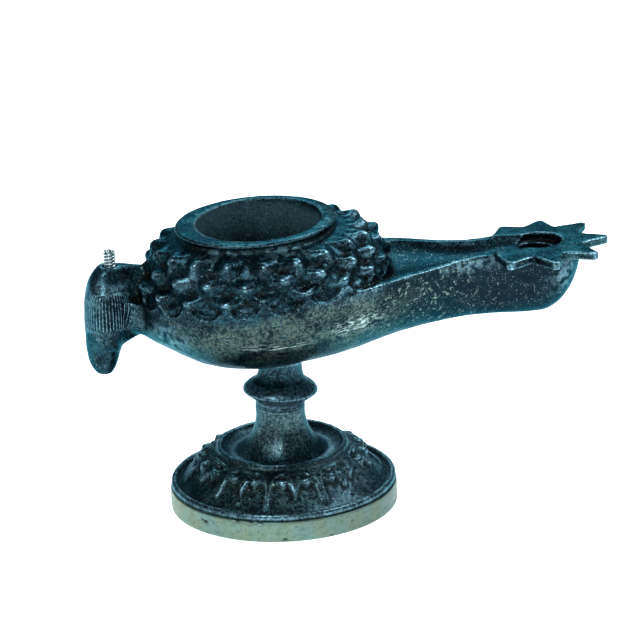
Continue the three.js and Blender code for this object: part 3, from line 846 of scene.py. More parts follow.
@dataclass
class LampBody:
    """The lamp: hull, knobbed shoulder, rim, spout, star plate and rear terminal.

    Heights are above the lamp's lowest point, and x is measured from the foot's axis.
    """

    frame: Frame
    centre_x: float = -3.0
    half_length: float = 38.4
    half_width: float = 31.5
    hull_depth: float = 25.6
    shoulder_rise: float = 16.2
    wall: float = 2.8
    rim_x: float = -4.9
    rim_half_length: float = 24.2
    rim_half_width: float = 22.0
    rim_height: float = 44.85
    throat_depth: float = 15.0
    rim_thickness: float = 1.3
    rim_tilt: float = math.radians(2.1)
    filler_radius: float = 18.8
    filler_offset: float = 0.8
    knob_rows: int = 4
    knobs_per_row: int = 19
    knob_turn: float = math.radians(-94)
    knob_height: float = 1.5
    nose_height: float = 1.3
    knob_hollow: float = 1.6
    skin_height: float = 1.45
    nozzle_x: float = 79.3
    nozzle_radius: float = 12.4
    nozzle_reach: float = 13.4
    spout_half_width: float = 8.4
    trough_depth: float = 3.4
    trough_lip: float = 1.4
    trough_floor: float = 3.4
    star_top: float = 31.7
    star_thickness: float = 2.4
    star_valley: float = 13.8
    recess_radius: float = 6.9
    recess_depth: float = 2.7
    recess_offset: float = 0.6
    wick_radius: float = 5.0
    wick_offset: float = -0.3
    wick_low: float = 18.0
    filler_aside: float = 0.3
    wick_aside: float = 0.4
    star_aside: float = -0.6
    stud_hole: float = 2.1
    stud_length: float = 9.0
    terminal_half_width: float = 9.0
    terminal_top: float = 34.1
    terminal_bottom: float = -0.6
    belt_low: float = 15.6
    belt_high: float = 27.2
    belt_round: float = 8.6
    knob_softness: float = 3.0
    shoulder_rows: int = 110
    faces_per_knob: int = 22
    voxel: float = 0.42
    triangles: int = 190000

    # how far down the shoulder each row of knobs begins
    KNOB_LINES = ((0, -0.75), (0.18, 0), (0.45, 1), (0.66, 2), (0.83, 3), (1, 4.2))
    # the way that each point of the star faces, in degrees, and how far it reaches
    STAR_POINTS = (
        (-121.5, 21.0),
        (-82.0, 21.1),
        (-42.0, 21.6),
        (0.0, 21.6),
        (39.0, 21.2),
        (78.0, 18.4),
        (120.0, 17.4),
    )
    STAR_BACK = ((-144.4, 16.7), (154.0, 14.3))
    # middle and reach of each patch that is lightened to a pale blue, and of each scratched one
    RUBBED_PATCHES = (
        ((-36.0, -16.0, 14.0), (9.0, 8.0, 6.0)),
        ((-55.5, -7.4, 13.5), (1.6, 2.5, 0.6)),
        ((-24.0, -17.0, 35.0), (8.0, 5.0, 2.5)),
        ((0.0, -21.0, 36.5), (9.0, 4.0, 2.5)),
        ((56.8, -9.8, 29.4), (9.0, 3.0, 2.6)),
        ((-17.0, -18.5, 41.0), (7.0, 3.0, 2.0)),
        ((1.5, -20.5, 42.0), (6.0, 3.0, 2.0)),
        ((88.0, -11.0, 22.0), (5.0, 5.0, 6.0)),
        ((-55.0, -6.0, 27.0), (5.0, 5.0, 3.4)),
    )
    SCRATCHED_PATCHES = (
        ((21.5, -22.8, 17.9), (9.0, 4.0, 2.8)),
        ((-2.0, -27.5, 14.3), (9.0, 5.0, 1.2)),
    )
    # outer edge and inner edge as (behind the body, height), both as shares, and width
    TERMINAL_SECTIONS = (
        ((-0.3, 0.97), (-0.3, 0.36), 0.5),
        ((0.05, 0.995), (-0.05, 0.355), 0.5),
        ((0.32, 1.02), (0.2, 0.3), 0.66),
        ((0.62, 1.02), (0.33, 0.27), 0.93),
        ((0.86, 0.9), (0.34, 0.26), 1.0),
        ((0.975, 0.72), (0.34, 0.25), 1.0),
        ((1.0, 0.54), (0.345, 0.24), 0.94),
        ((1.0, 0.4), (0.36, 0.23), 0.78),
        ((0.99, 0.24), (0.39, 0.17), 0.6),
        ((0.94, 0.12), (0.44, 0.1), 0.5),
        ((0.83, 0.035), (0.53, 0.03), 0.34),
    )

    def __post_init__(self) -> None:
        """Works out the lines of the hull from its sizes."""
        self.rear_x = self.centre_x - self.half_length
        self.terminal_reach = self.rear_x - self.frame.rear_end
        self.tangent_x = self.centre_x + 0.44 * self.half_length
        self.random = np.random.default_rng(12)
        shape = (self.knob_rows + 1, self.knobs_per_row)
        self.knob_size = 1 + self.random.uniform(-0.2, 0.16, shape)
        self.knob_slip = self.random.uniform(-0.13, 0.13, shape)
        self.knob_drop = self.random.uniform(-0.11, 0.11, shape)
        self.knob_line = curve_through(self.KNOB_LINES)
        on_spout = self.on_spout
        before = self.tangent_x - 4
        self.spout_width = curve_through(
            [
                (before, self.ellipse_width(before)),
                (self.tangent_x, self.ellipse_width(self.tangent_x)),
                (on_spout(0.28), self.half_width * 0.66),
                (on_spout(0.46), self.half_width * 0.488),
                (on_spout(0.62), self.spout_half_width + 1.9),
                (on_spout(0.74), self.spout_half_width),
                (on_spout(0.86), self.spout_half_width + 1.1),
                (self.nozzle_x, self.nozzle_radius),
            ]
        )
        self.gunwale = curve_through(
            [
                (self.rear_x - 4, self.hull_depth - 1),
                (self.rear_x + 4, self.hull_depth - 2.6),
                (self.centre_x, self.hull_depth),
                (self.tangent_x, self.hull_depth + 2.2),
                (on_spout(0.3), self.hull_depth + 3.9),
                (on_spout(0.6), self.star_top - 1.4),
                (on_spout(0.85), self.star_top - 0.6),
                (self.nozzle_x, self.star_top - 0.6),
            ]
        )
        self.keel = curve_through(
            [
                (self.rear_x - 4, self.hull_depth * 0.5),
                (self.rear_x + 1, self.hull_depth * 0.45),
                (self.rear_x + 6, self.hull_depth * 0.345),
                (self.rear_x + 18, self.hull_depth * 0.11),
                (self.rear_x + 33, 0),
                (self.centre_x + 10, self.hull_depth * 0.04),
                (self.tangent_x + 8, self.hull_depth * 0.13),
                (on_spout(0.35), self.hull_depth * 0.28),
                (on_spout(0.6), self.hull_depth * 0.36),
                (on_spout(0.8), self.hull_depth * 0.375),
                (self.nozzle_x, self.hull_depth * 0.375),
                (self.nozzle_x + self.nozzle_reach, self.hull_depth * 0.48),
            ]
        )
        self.trough_fall = curve_through(
            [
                (self.centre_x, self.trough_depth),
                (on_spout(0.6), self.trough_depth),
                (on_spout(0.85), self.trough_depth * 0.7),
                (self.nozzle_x, self.recess_depth - 0.6),
            ]
        )

    def on_spout(self, share: float) -> float:
        """The x at a share of the way from the body to the wick hole."""
        return self.tangent_x + (self.nozzle_x - self.tangent_x) * share

    def ellipse_width(self, x: object) -> object:
        """Half the width of the body's oval plan at x."""
        share = (x - self.centre_x) / self.half_length
        return self.half_width * np.sqrt(np.maximum(0, 1 - share**2))

    def plan_width(self, x: Array, grow: float) -> Array:
        """Half the width of the hull's plan.

        Args:
            x: the places along the lamp.
            grow: how far it is moved outwards.

        Returns:
            The half width at each place.
        """
        out = (x - self.nozzle_x) / (self.nozzle_reach + grow)
        nozzle = (self.nozzle_radius + grow) * np.sqrt(np.maximum(0, 1 - out**2))
        body = np.maximum(self.ellipse_width(x), self.terminal_half_width - 1.2) + grow
        width = np.where(x > self.tangent_x, self.spout_width(x) + grow, body)
        return np.where(x > self.nozzle_x, nozzle, width)

    def rounded_keel(self, x: Array, grow: float) -> Array:
        """The hull's lowest line, which rounds up at the nozzle's end.

        Args:
            x: the places along the lamp.
            grow: how far it is moved outwards.

        Returns:
            The height at each place.
        """
        low = self.keel(x) - grow
        out = np.clip((x - self.nozzle_x) / (self.nozzle_reach + grow), 0, 1)
        shrink = np.sqrt(np.maximum(0, 1 - out**2.4))
        deck = self.gunwale(x)
        return deck - (deck - low) * shrink

    def boat(
        self,
        ends: tuple[float, float],
        width: Reader,
        deck: Reader,
        bottom: Reader,
        fine: tuple[int, int] = (120, 140),
    ) -> bpy.types.Object:
        """A boat-shaped solid whose sections are half ellipses below a flat deck.

        Args:
            ends: x where it starts and ends.
            width: reads its half width.
            deck: reads its upper side.
            bottom: reads its lowest line.
            fine: how many faces go round and along it.

        Returns:
            The solid.
        """
        deck_share = 0.2
        bm = bmesh.new()
        bmesh.ops.create_uvsphere(bm, u_segments=fine[0], v_segments=fine[1], radius=1.0)
        points = points_of(bm)
        up, aside, along = points[:, 0], points[:, 1], points[:, 2]
        along = 1 - 2 * np.arccos(np.clip(along, -1, 1)) / math.pi
        along = 0.55 * along + 0.45 * np.sin(along * math.pi / 2)
        x = (ends[0] + ends[1]) / 2 + (ends[1] - ends[0]) / 2 * along
        pole = np.hypot(up, aside) < 1e-6
        turn = np.abs(np.arctan2(aside, up)) / math.pi
        below = (turn - deck_share) / (1 - deck_share) * (math.pi / 2)
        on_deck = turn <= deck_share
        side = np.where(on_deck, turn / deck_share, np.cos(below))
        drop = np.where(on_deck, 0.0, np.sin(below))
        side = np.where(pole, 0.0, side)
        drop = np.where(pole, 0.0, drop)
        top = deck(x)
        y = width(x) * side * np.sign(aside)
        z = top - (top - bottom(x)) * drop
        move_points(bm, np.stack([x, y, z], axis=1))
        return drawn(bm, "boat")

    def hull(self) -> bpy.types.Object:
        """The outside of the body, spout and nozzle, filled."""
        return self.boat(
            (self.rear_x - 5, self.nozzle_x + self.nozzle_reach),
            lambda x: self.plan_width(x, 0.0),
            self.gunwale,
            lambda x: self.rounded_keel(x, 0.0),
            (144, 200),
        )

    def trough(self) -> bpy.types.Object:
        """What is cut away along the top of the spout."""
        return self.boat(
            (self.centre_x, self.nozzle_x - self.recess_radius * 0.3),
            lambda x: np.minimum(
                self.plan_width(x, -self.trough_lip),
                np.where(x > self.on_spout(0.8), self.recess_radius, 99.0),
            ),
            lambda x: self.gunwale(x) + 3,
            lambda x: self.gunwale(x) - self.trough_fall(x),
        )

    def shoulder_places(self, turn: Array, t: Array) -> Array:
        """Places on the shoulder's bare surface.

        Args:
            turn: the way round the body, in radians.
            t: from the rim's neck (0) to the hull (1), and on down past it.

        Returns:
            The places, one row each.
        """
        q = np.minimum(t, 1.0)
        out = 0.92 * np.sin(q * math.pi / 2) + 0.08 * q
        up = 0.92 * np.cos(q * math.pi / 2) + 0.08 * (1 - q)
        neck_a, neck_b = self.rim_half_length - 0.9, self.rim_half_width - 0.9
        a = neck_a + (self.half_length - 1.6 - neck_a) * out
        b = neck_b + (self.half_width - 1.3 - neck_b) * out
        cx = self.rim_x + (self.centre_x - self.rim_x) * out
        x = cx + a * np.cos(turn)
        low = self.gunwale(x) - 0.8
        lean = a * np.cos(turn) * math.tan(self.rim_tilt)
        high = self.hull_depth + self.shoulder_rise + lean
        skirt = np.maximum(t - 1.0, 0.0) * 40.0
        return np.stack([x, b * np.sin(turn), low + (high - low) * up - skirt], axis=1)

    def knob_relief(self, turn: Array, t: Array) -> Array:
        """How far the knobs and the hull's scalloped skin stand out from the shoulder.

        Each knob is a scale: below a deep round hollow it swells to a rounded nose. The
        hull's skin ends on the shoulder in a line that rises to the noses of the third row
        and dips round the lowest knobs.

        Args:
            turn: the way round the body, in radians.
            t: from the rim's neck (0) to the hull (1).

        Returns:
            The height of the relief.
        """
        line = self.knob_line(t)
        pitch = math.tau / self.knobs_per_row
        raised = np.zeros_like(turn)
        sunk = np.zeros_like(turn)
        for row in range(self.knob_rows):
            across = (turn - self.knob_turn) / pitch + (row % 2) / 2
            index = np.round(across).astype(int) % self.knobs_per_row
            size = self.knob_size[row, index]
            u = (across - np.round(across)) * 2 + self.knob_slip[row, index]
            v = line - row + self.knob_drop[row, index]
            narrow = 1.0 - 0.22 * smoothstep(0.3, 1.15, v)
            left = 1 - (np.abs(u) / narrow) ** 2 - np.abs((v - 0.62) / 0.82) ** 2
            body = np.clip(left, 0, 1)
            nose = bell(u, 0.4) * bell(v - 0.8, 0.36)
            reach = np.hypot(u / 0.36, (v - 0.16) / 0.22)
            pit = np.exp(-(reach**2))
            if row == 3:
                size = size * 0.7
                nose = nose * 0.3
                pit = pit * 0.4
            knob = size * (self.knob_height * body + self.nose_height * nose)
            raised += np.expm1(knob * self.knob_softness)
            sunk = np.maximum(sunk, self.knob_hollow * size * pit)
        raised = np.log1p(raised) / self.knob_softness
        across = (turn - self.knob_turn) / pitch
        index = np.round(across).astype(int) % self.knobs_per_row
        w = (across - np.round(across)) * 2 + self.knob_slip[2, index]
        edge = 0.955 - 0.15 * self.knob_size[4, index] * bell(w, 0.4)
        skin = self.skin_height * smoothstep(0.0, 0.014, t - edge)
        skin += 0.9 * bell(w, 0.3) * bell((t - edge - 0.03) / 0.05, 1.0)
        skin += 0.6 * bell((t - edge - 0.016) / 0.016, 1.0) * (1 - bell(w, 0.3))
        return np.maximum((raised - sunk) * (1 - 0.6 * smoothstep(0.92, 0.98, t)), skin)

    def shoulder(self) -> bpy.types.Object:
        """The knobbed shoulder as a closed solid, with a skirt that runs down into the hull."""
        rows = self.shoulder_rows
        last = 1 + 6.4 / rows
        line = [(0.0, 0.0)] + [(1.0, -last * i / rows) for i in range(rows + 1)]
        bm = turned(line + [(0.0, -last)], self.knobs_per_row * self.faces_per_knob)
        points = points_of(bm)
        centre = np.hypot(points[:, 0], points[:, 1]) < 0.5
        turn = np.arctan2(points[:, 1], points[:, 0])
        t = -points[:, 2]
        step = 0.004
        here = self.shoulder_places(turn, t)
        onward = self.shoulder_places(turn, np.minimum(t, 0.99) + step)
        onward -= self.shoulder_places(turn, np.minimum(t, 0.99))
        around = self.shoulder_places(turn + step, t) - here
        normal = np.cross(onward, around)
        normal /= np.linalg.norm(normal, axis=1, keepdims=True)
        height = self.knob_relief(turn, np.minimum(t, 1.0))
        places = here + normal * height[:, None]
        top = self.hull_depth + self.shoulder_rise
        places[centre] = np.stack(
            [
                np.full(centre.sum(), self.centre_x),
                np.zeros(centre.sum()),
                np.where(t[centre] < 0.5, top, self.hull_depth - 5),
            ],
            axis=1,
        )
        move_points(bm, places)
        return drawn(bm, "shoulder")

    def rim(self) -> bpy.types.Object:
        """The flat rim of the filler hole, over a concave neck."""
        low = self.hull_depth + self.shoulder_rise - 1.5
        height = self.rim_height - low
        lip = height - self.rim_thickness
        profile = [
            (0, 0),
            (1.03, 0),
            (1.0, height * 0.22),
            (0.975, height * 0.4),
            (0.962, lip - 0.7),
            (0.97, lip - 0.25),
            (0.992, lip),
            (1.0, lip + self.rim_thickness * 0.35),
            (1.0, height - 0.25),
            (0.99, height),
            (0, height),
        ]
        bm = turned(profile, 160)
        wide, deep = self.rim_half_length, self.rim_half_width
        bmesh.ops.scale(bm, vec=(wide, deep, 1), verts=bm.verts)
        tilt = Matrix.Rotation(-self.rim_tilt, 4, "Y")
        shift = Matrix.Translation((self.rim_x, 0, low))
        bmesh.ops.transform(bm, matrix=shift @ tilt, verts=bm.verts)
        return drawn(bm, "rim")

    def star(self) -> bpy.types.Object:
        """The star plate, with blunt points and straight-sided valleys."""
        blunt = 2.4
        points = self.STAR_POINTS
        corners = [self.STAR_BACK[0]]
        for i, (facing, reach) in enumerate(points):
            corners.append((facing - blunt, reach))
            corners.append((facing + blunt, reach))
            if i + 1 < len(points):
                corners.append(((facing + points[i + 1][0]) / 2, self.star_valley))
        corners.append(self.STAR_BACK[1])
        bm = bmesh.new()
        bottom = self.star_top - self.star_thickness
        ring = []
        for degrees, radius in corners:
            turn = math.radians(degrees)
            place = (radius * math.cos(turn), radius * math.sin(turn))
            aside = place[1] + self.star_aside
            ring.append(bm.verts.new((self.nozzle_x + place[0], aside, bottom)))
        face = bm.faces.new(ring)
        lifted = bmesh.ops.extrude_face_region(bm, geom=[face])
        top = [v for v in lifted["geom"] if isinstance(v, bmesh.types.BMVert)]
        bmesh.ops.translate(bm, vec=(0, 0, self.star_thickness), verts=top)
        return drawn(bm, "star")

    def terminal(self) -> bpy.types.Object:
        """The bent terminal at the rear, with its dished upper sides and its belt."""
        height = self.terminal_top - self.terminal_bottom
        sections = self.TERMINAL_SECTIONS
        last = len(sections) - 1

        def reader(values: list[float]) -> Reader:
            """Reads one measure along the sections."""
            return curve_through(list(enumerate(values)))

        outer_x = reader([self.rear_x - self.terminal_reach * s[0][0] for s in sections])
        outer_z = reader([self.terminal_bottom + height * s[0][1] for s in sections])
        inner_x = reader([self.rear_x - self.terminal_reach * s[1][0] for s in sections])
        inner_z = reader([self.terminal_bottom + height * s[1][1] for s in sections])
        width = reader([s[2] * self.terminal_half_width for s in sections])
        bm = bmesh.new()
        bmesh.ops.create_uvsphere(bm, u_segments=96, v_segments=120, radius=1.0)
        points = points_of(bm)
        r = np.hypot(points[:, 0], points[:, 1])
        pole = r < 1e-6
        r = np.where(pole, 1.0, r)
        up = np.where(pole, 0.0, points[:, 0] / r)
        side = np.where(pole, 0.0, points[:, 1] / r)
        along = (1 - points[:, 2]) / 2 * last
        x = (outer_x(along) + inner_x(along)) / 2 + (outer_x(along) - inner_x(along)) / 2 * up
        z = (outer_z(along) + inner_z(along)) / 2 + (outer_z(along) - inner_z(along)) / 2 * up
        belt = smoothstep(self.belt_low, self.belt_low + 0.7, z)
        belt *= 1 - smoothstep(self.belt_high - 1.5, self.belt_high + 0.5, z)
        swell = 0.75 * belt
        swell -= 1.5 * bell(z - self.belt_high - 3.4, 2.4) * smoothstep(0.2, 0.7, np.abs(side))
        to_body = smoothstep(self.rear_x - 6, self.rear_x - 1, x)
        y = side * (width(along) + swell * (1 - to_body)) * (1 - 0.16 * to_body)
        move_points(bm, np.stack([x, y, z], axis=1))
        shape = drawn(bm, "terminal")
        seat = bmesh.new()
        bmesh.ops.create_cube(seat, size=1.0)
        bmesh.ops.scale(seat, vec=(self.terminal_reach * 2, 40, 10), verts=seat.verts)
        centre = (self.rear_x - self.terminal_reach, 0, self.terminal_top + 5)
        bmesh.ops.translate(seat, vec=centre, verts=seat.verts)
        combine(shape, drawn(seat, "seat"), Cut.TAKE_AWAY)
        return shape

    def reservoir(self) -> bpy.types.Object:
        """The oil space under the shoulder."""
        bm = bmesh.new()
        bmesh.ops.create_uvsphere(bm, u_segments=96, v_segments=48, radius=1.0)
        points = points_of(bm)
        r = np.hypot(points[:, 0], points[:, 1])
        turn = np.arctan2(points[:, 1], points[:, 0])
        upper = points[:, 2] >= 0
        t = np.where(upper, np.arcsin(np.clip(r, 0, 1)) * 2 / math.pi, 1.0)
        edge = self.shoulder_places(turn, t)
        flat = np.hypot(edge[:, 0] - self.centre_x, edge[:, 1])
        inward = np.maximum(flat - self.wall, 0) / np.maximum(flat, 1e-6)
        x = self.centre_x + (edge[:, 0] - self.centre_x) * inward
        y = edge[:, 1] * inward
        neck = r < 0.5
        x = np.where(upper & neck, self.centre_x + (x - self.centre_x) * 2 * r, x)
        y = np.where(upper & neck, y * 2 * r, y)
        roof = self.rim_height - self.throat_depth
        z = np.minimum(edge[:, 2] - self.wall * np.cos(t * math.pi / 2), roof)
        x = np.where(upper, x, self.centre_x + (x - self.centre_x) * r)
        y = np.where(upper, y, y * r)
        floor = float(self.keel(np.array([self.centre_x]))[0]) + self.wall
        z = np.where(upper, z, z + (z - floor) * points[:, 2] * 0.96)
        move_points(bm, np.stack([x, y, z], axis=1))
        return drawn(bm, "reservoir")

    def oil_way(self) -> bpy.types.Object:
        """The passage inside the spout, under the trough's floor."""
        fall = self.trough_depth + self.trough_floor
        return self.boat(
            (self.centre_x, self.nozzle_x + self.nozzle_reach - self.wall),
            lambda x: self.plan_width(x, -self.wall),
            lambda x: self.gunwale(x) - fall,
            lambda x: self.rounded_keel(x, -self.wall),
            (48, 60),
        )

    def bore(
        self, radius: float, ends: tuple[float, float], x: float, y: float
    ) -> bpy.types.Object:
        """A round cutter along Z.

        Args:
            radius: its radius.
            ends: where it starts and ends.
            x: its axis, along the lamp.
            y: its axis, across the lamp.

        Returns:
            The cutter.
        """
        low, high = ends
        bm = turned([(0, low), (radius, low), (radius, high), (0, high)], 96)
        bmesh.ops.translate(bm, vec=(x, y, 0), verts=bm.verts)
        return drawn(bm, "bore")

    def assemble(self) -> bpy.types.Object:
        """Joins the forms of the lamp and cuts its hollows."""
        shape = self.hull()
        combine(shape, self.star(), Cut.JOIN)
        combine(shape, self.trough(), Cut.TAKE_AWAY)
        for form in (self.shoulder(), self.rim(), self.terminal()):
            combine(shape, form, Cut.JOIN)
        filler_x = self.rim_x + self.filler_offset
        recess = self.star_top - self.recess_depth
        recess_x = self.nozzle_x + self.recess_offset
        wick_x = self.nozzle_x + self.wick_offset
        stud_low = self.frame.stud_top - self.frame.lamp_low - self.stud_length
        stud_high = self.terminal_top + self.stud_length
        filler_high = self.rim_height + 9
        cutters = (
            self.reservoir(),
            self.oil_way(),
            self.bore(self.filler_radius, (self.hull_depth, filler_high), filler_x, self.filler_aside),
            self.bore(self.recess_radius, (recess, self.star_top + 4), recess_x, 0.0),
            self.bore(self.wick_radius, (self.wick_low, self.star_top), wick_x, self.wick_aside),
            self.bore(self.stud_hole, (stud_low, stud_high), self.frame.stud_x, 0.0),
        )
        for cutter in cutters:
            combine(shape, cutter, Cut.TAKE_AWAY)
        return shape

    def dents(self, surface: Surface) -> None:
        """Gives the casting its hand-made unevenness."""
        normals = surface.normals()
        points = surface.points
        uneven = 0.16 * rough(points, 11.0, 4.0) + 0.09 * rough(points, 3.6, 9.0)
        on_rim = smoothstep(self.rim_height - 3, self.rim_height - 1.5, points[:, 2])
        uneven *= 1 - 0.6 * on_rim
        on_knobs = smoothstep(self.hull_depth, self.hull_depth + 2, points[:, 2])
        uneven *= 1 - 0.6 * on_knobs * (points[:, 0] < self.tangent_x + 16)
        moved = points + normals * uneven[:, None]
        top = self.frame.lamp_top - self.frame.lamp_low
        moved[:, 0] = np.clip(moved[:, 0], self.frame.rear_end, self.frame.nozzle_tip)
        moved[:, 2] = np.clip(moved[:, 2], self.terminal_bottom, top)
        surface.points = moved
        surface.write()

    def rubbed_and_hollow(self, surface: Surface) -> tuple[Array, Array]:
        """Reads where hands and cloths reached the casting, where a painted highlight lightens it, and
        where dirt stayed.

        Args:
            surface: the full surface.

        Returns:
            The wear with its painted highlights, and the hollowness at each point.
        """
        near, mid, far = (surface.standing_out(rounds) for rounds in (8, 26, 70))
        x, y, z = surface.points.T
        on_rim = smoothstep(self.rim_height - 3.5, self.rim_height - 2, z)
        on_knobs = smoothstep(self.hull_depth - 2, self.hull_depth, z) * (1 - on_rim)
        on_knobs *= 1 - smoothstep(self.tangent_x + 14, self.tangent_x + 18, x)
        wear = np.clip(near * 6.0 - 0.3, 0, 1) * (0.45 - 0.25 * on_rim - 0.25 * on_knobs)
        wear += np.clip(far * 1.2 - 0.6, 0, 1) * 0.8 * (1 - on_rim)
        wear += np.clip(mid * 3.0 - 0.7, 0, 1) * 0.8 * on_knobs
        # painted highlight: the knobs on the right, towards the spout, are lightened as if lit from
        # the right
        painted_highlight_right = smoothstep(8.0, 26.0, x) * on_knobs * (y < 12)
        wear += 0.3 * painted_highlight_right * smoothstep(-0.1, 0.25, mid)
        at_back = 1 - smoothstep(self.rear_x - 5.0, self.rear_x - 2.0, x)
        # lighter lines along the belt's edges: partly edge wear, partly a painted highlight where the
        # bulging edge catches light
        edges = 0.8 * bell(z - self.belt_high - 0.8, 1.3) + 0.7 * bell(z - self.belt_low, 0.6)
        broken = 0.35 + 0.65 * smoothstep(-0.1, 0.3, rough(surface.points, 2.5, 3.0))
        wear += edges * at_back * broken
        hollow = np.clip(-near * 7.0, 0, 1) * 0.4 + np.clip(-far * 1.7 - 0.3, 0, 1)
        hollow += np.clip(-mid * 2.4 - 0.2, 0, 1) * 0.8 * on_knobs
        return np.clip(wear, 0, 1), np.clip(hollow, 0, 1)

    def traces(self, surface: Surface) -> dict[Trace, Array]:
        """Reads what the casting's surface keeps for its finish.

        Args:
            surface: the full surface.

        Returns:
            One number for each point and trace.
        """
        wear, hollow = self.rubbed_and_hollow(surface)
        x, y, z = surface.points.T
        side = np.abs(y) - self.plan_width(x, 0.0)
        below = self.gunwale(x) - z
        hazy_top = self.hull_depth - 5 + 4 * smoothstep(-15.0, 5.0, x)
        olive = smoothstep(2.0, 9.0, z) * (1 - smoothstep(0.0, 3.5, z - hazy_top))
        olive *= (1 - smoothstep(20.0, 48.0, x)) * smoothstep(-46.0, -30.0, x)
        flake = smoothstep(5.0, 12.0, z) * smoothstep(-5.0, 25.0, x)
        flake *= 1 - smoothstep(52.0, 66.0, x)
        flake *= np.maximum(smoothstep(-2.0, -1.0, side), smoothstep(5.0, 6.5, below))
        flake *= smoothstep(-0.3, 0.6, below)
        from_filler = np.hypot(x - self.rim_x - self.filler_offset, y)
        inside = 1 - smoothstep(self.filler_radius + 0.2, self.filler_radius + 0.8, from_filler)
        inside *= 1 - smoothstep(self.rim_height - 1.5, self.rim_height + 0.4, z)
        # painted shade: the lighter dust fades darker towards the bottom of the filler hole
        inside *= 0.25 + 0.75 * smoothstep(self.rim_height - 16, self.rim_height - 3, z)
        # painted shade: the spout's side below the gunwale and the lamp's underside are darkened
        soot = smoothstep(8.0, 40.0, x) * smoothstep(0.5, 2.0, below)
        soot = np.maximum(soot, 0.9 * smoothstep(-5, 15, x) * (1 - smoothstep(4.0, 12.0, z)))
        turn = np.arctan2(y, x - self.rear_x + self.belt_round)
        belt = smoothstep(self.belt_low, self.belt_low + 1, z)
        belt *= 1 - smoothstep(self.belt_high - 1, self.belt_high, z)
        belt *= 1 - smoothstep(self.rear_x - 4.0, self.rear_x - 2.0, x)
        return {
            Trace.WEAR: wear,
            Trace.HOLLOW: hollow,
            Trace.OLIVE: olive,
            Trace.FLAKE: flake,
            Trace.BLUISH: surface.near_patches(self.RUBBED_PATCHES),
            Trace.SCRATCH: surface.near_patches(self.SCRATCHED_PATCHES),
            Trace.INSIDE: inside,
            Trace.SOOT: soot,
            Trace.BELT_WAY: turn * self.belt_round,
            Trace.BELT: belt,
        }

    def build(self) -> None:
        """Makes the lamp, dresses it and hands it over."""
        shape = self.assemble()
        shape.name = "cast_lamp"
        fused(shape, self.voxel)
        surface = Surface(shape.data)
        surface.points = surface.softened(surface.points, 2)
        surface.write()
        self.dents(surface)
        traces = self.traces(surface)
        places = surface.points.copy()
        thinned(shape, self.triangles)
        traced(shape.data, places, traces)
        shape.data.transform(Matrix.Translation((0, 0, self.frame.lamp_low)))
        placed(shape, "lamp_body", PatinatedBronze().material())


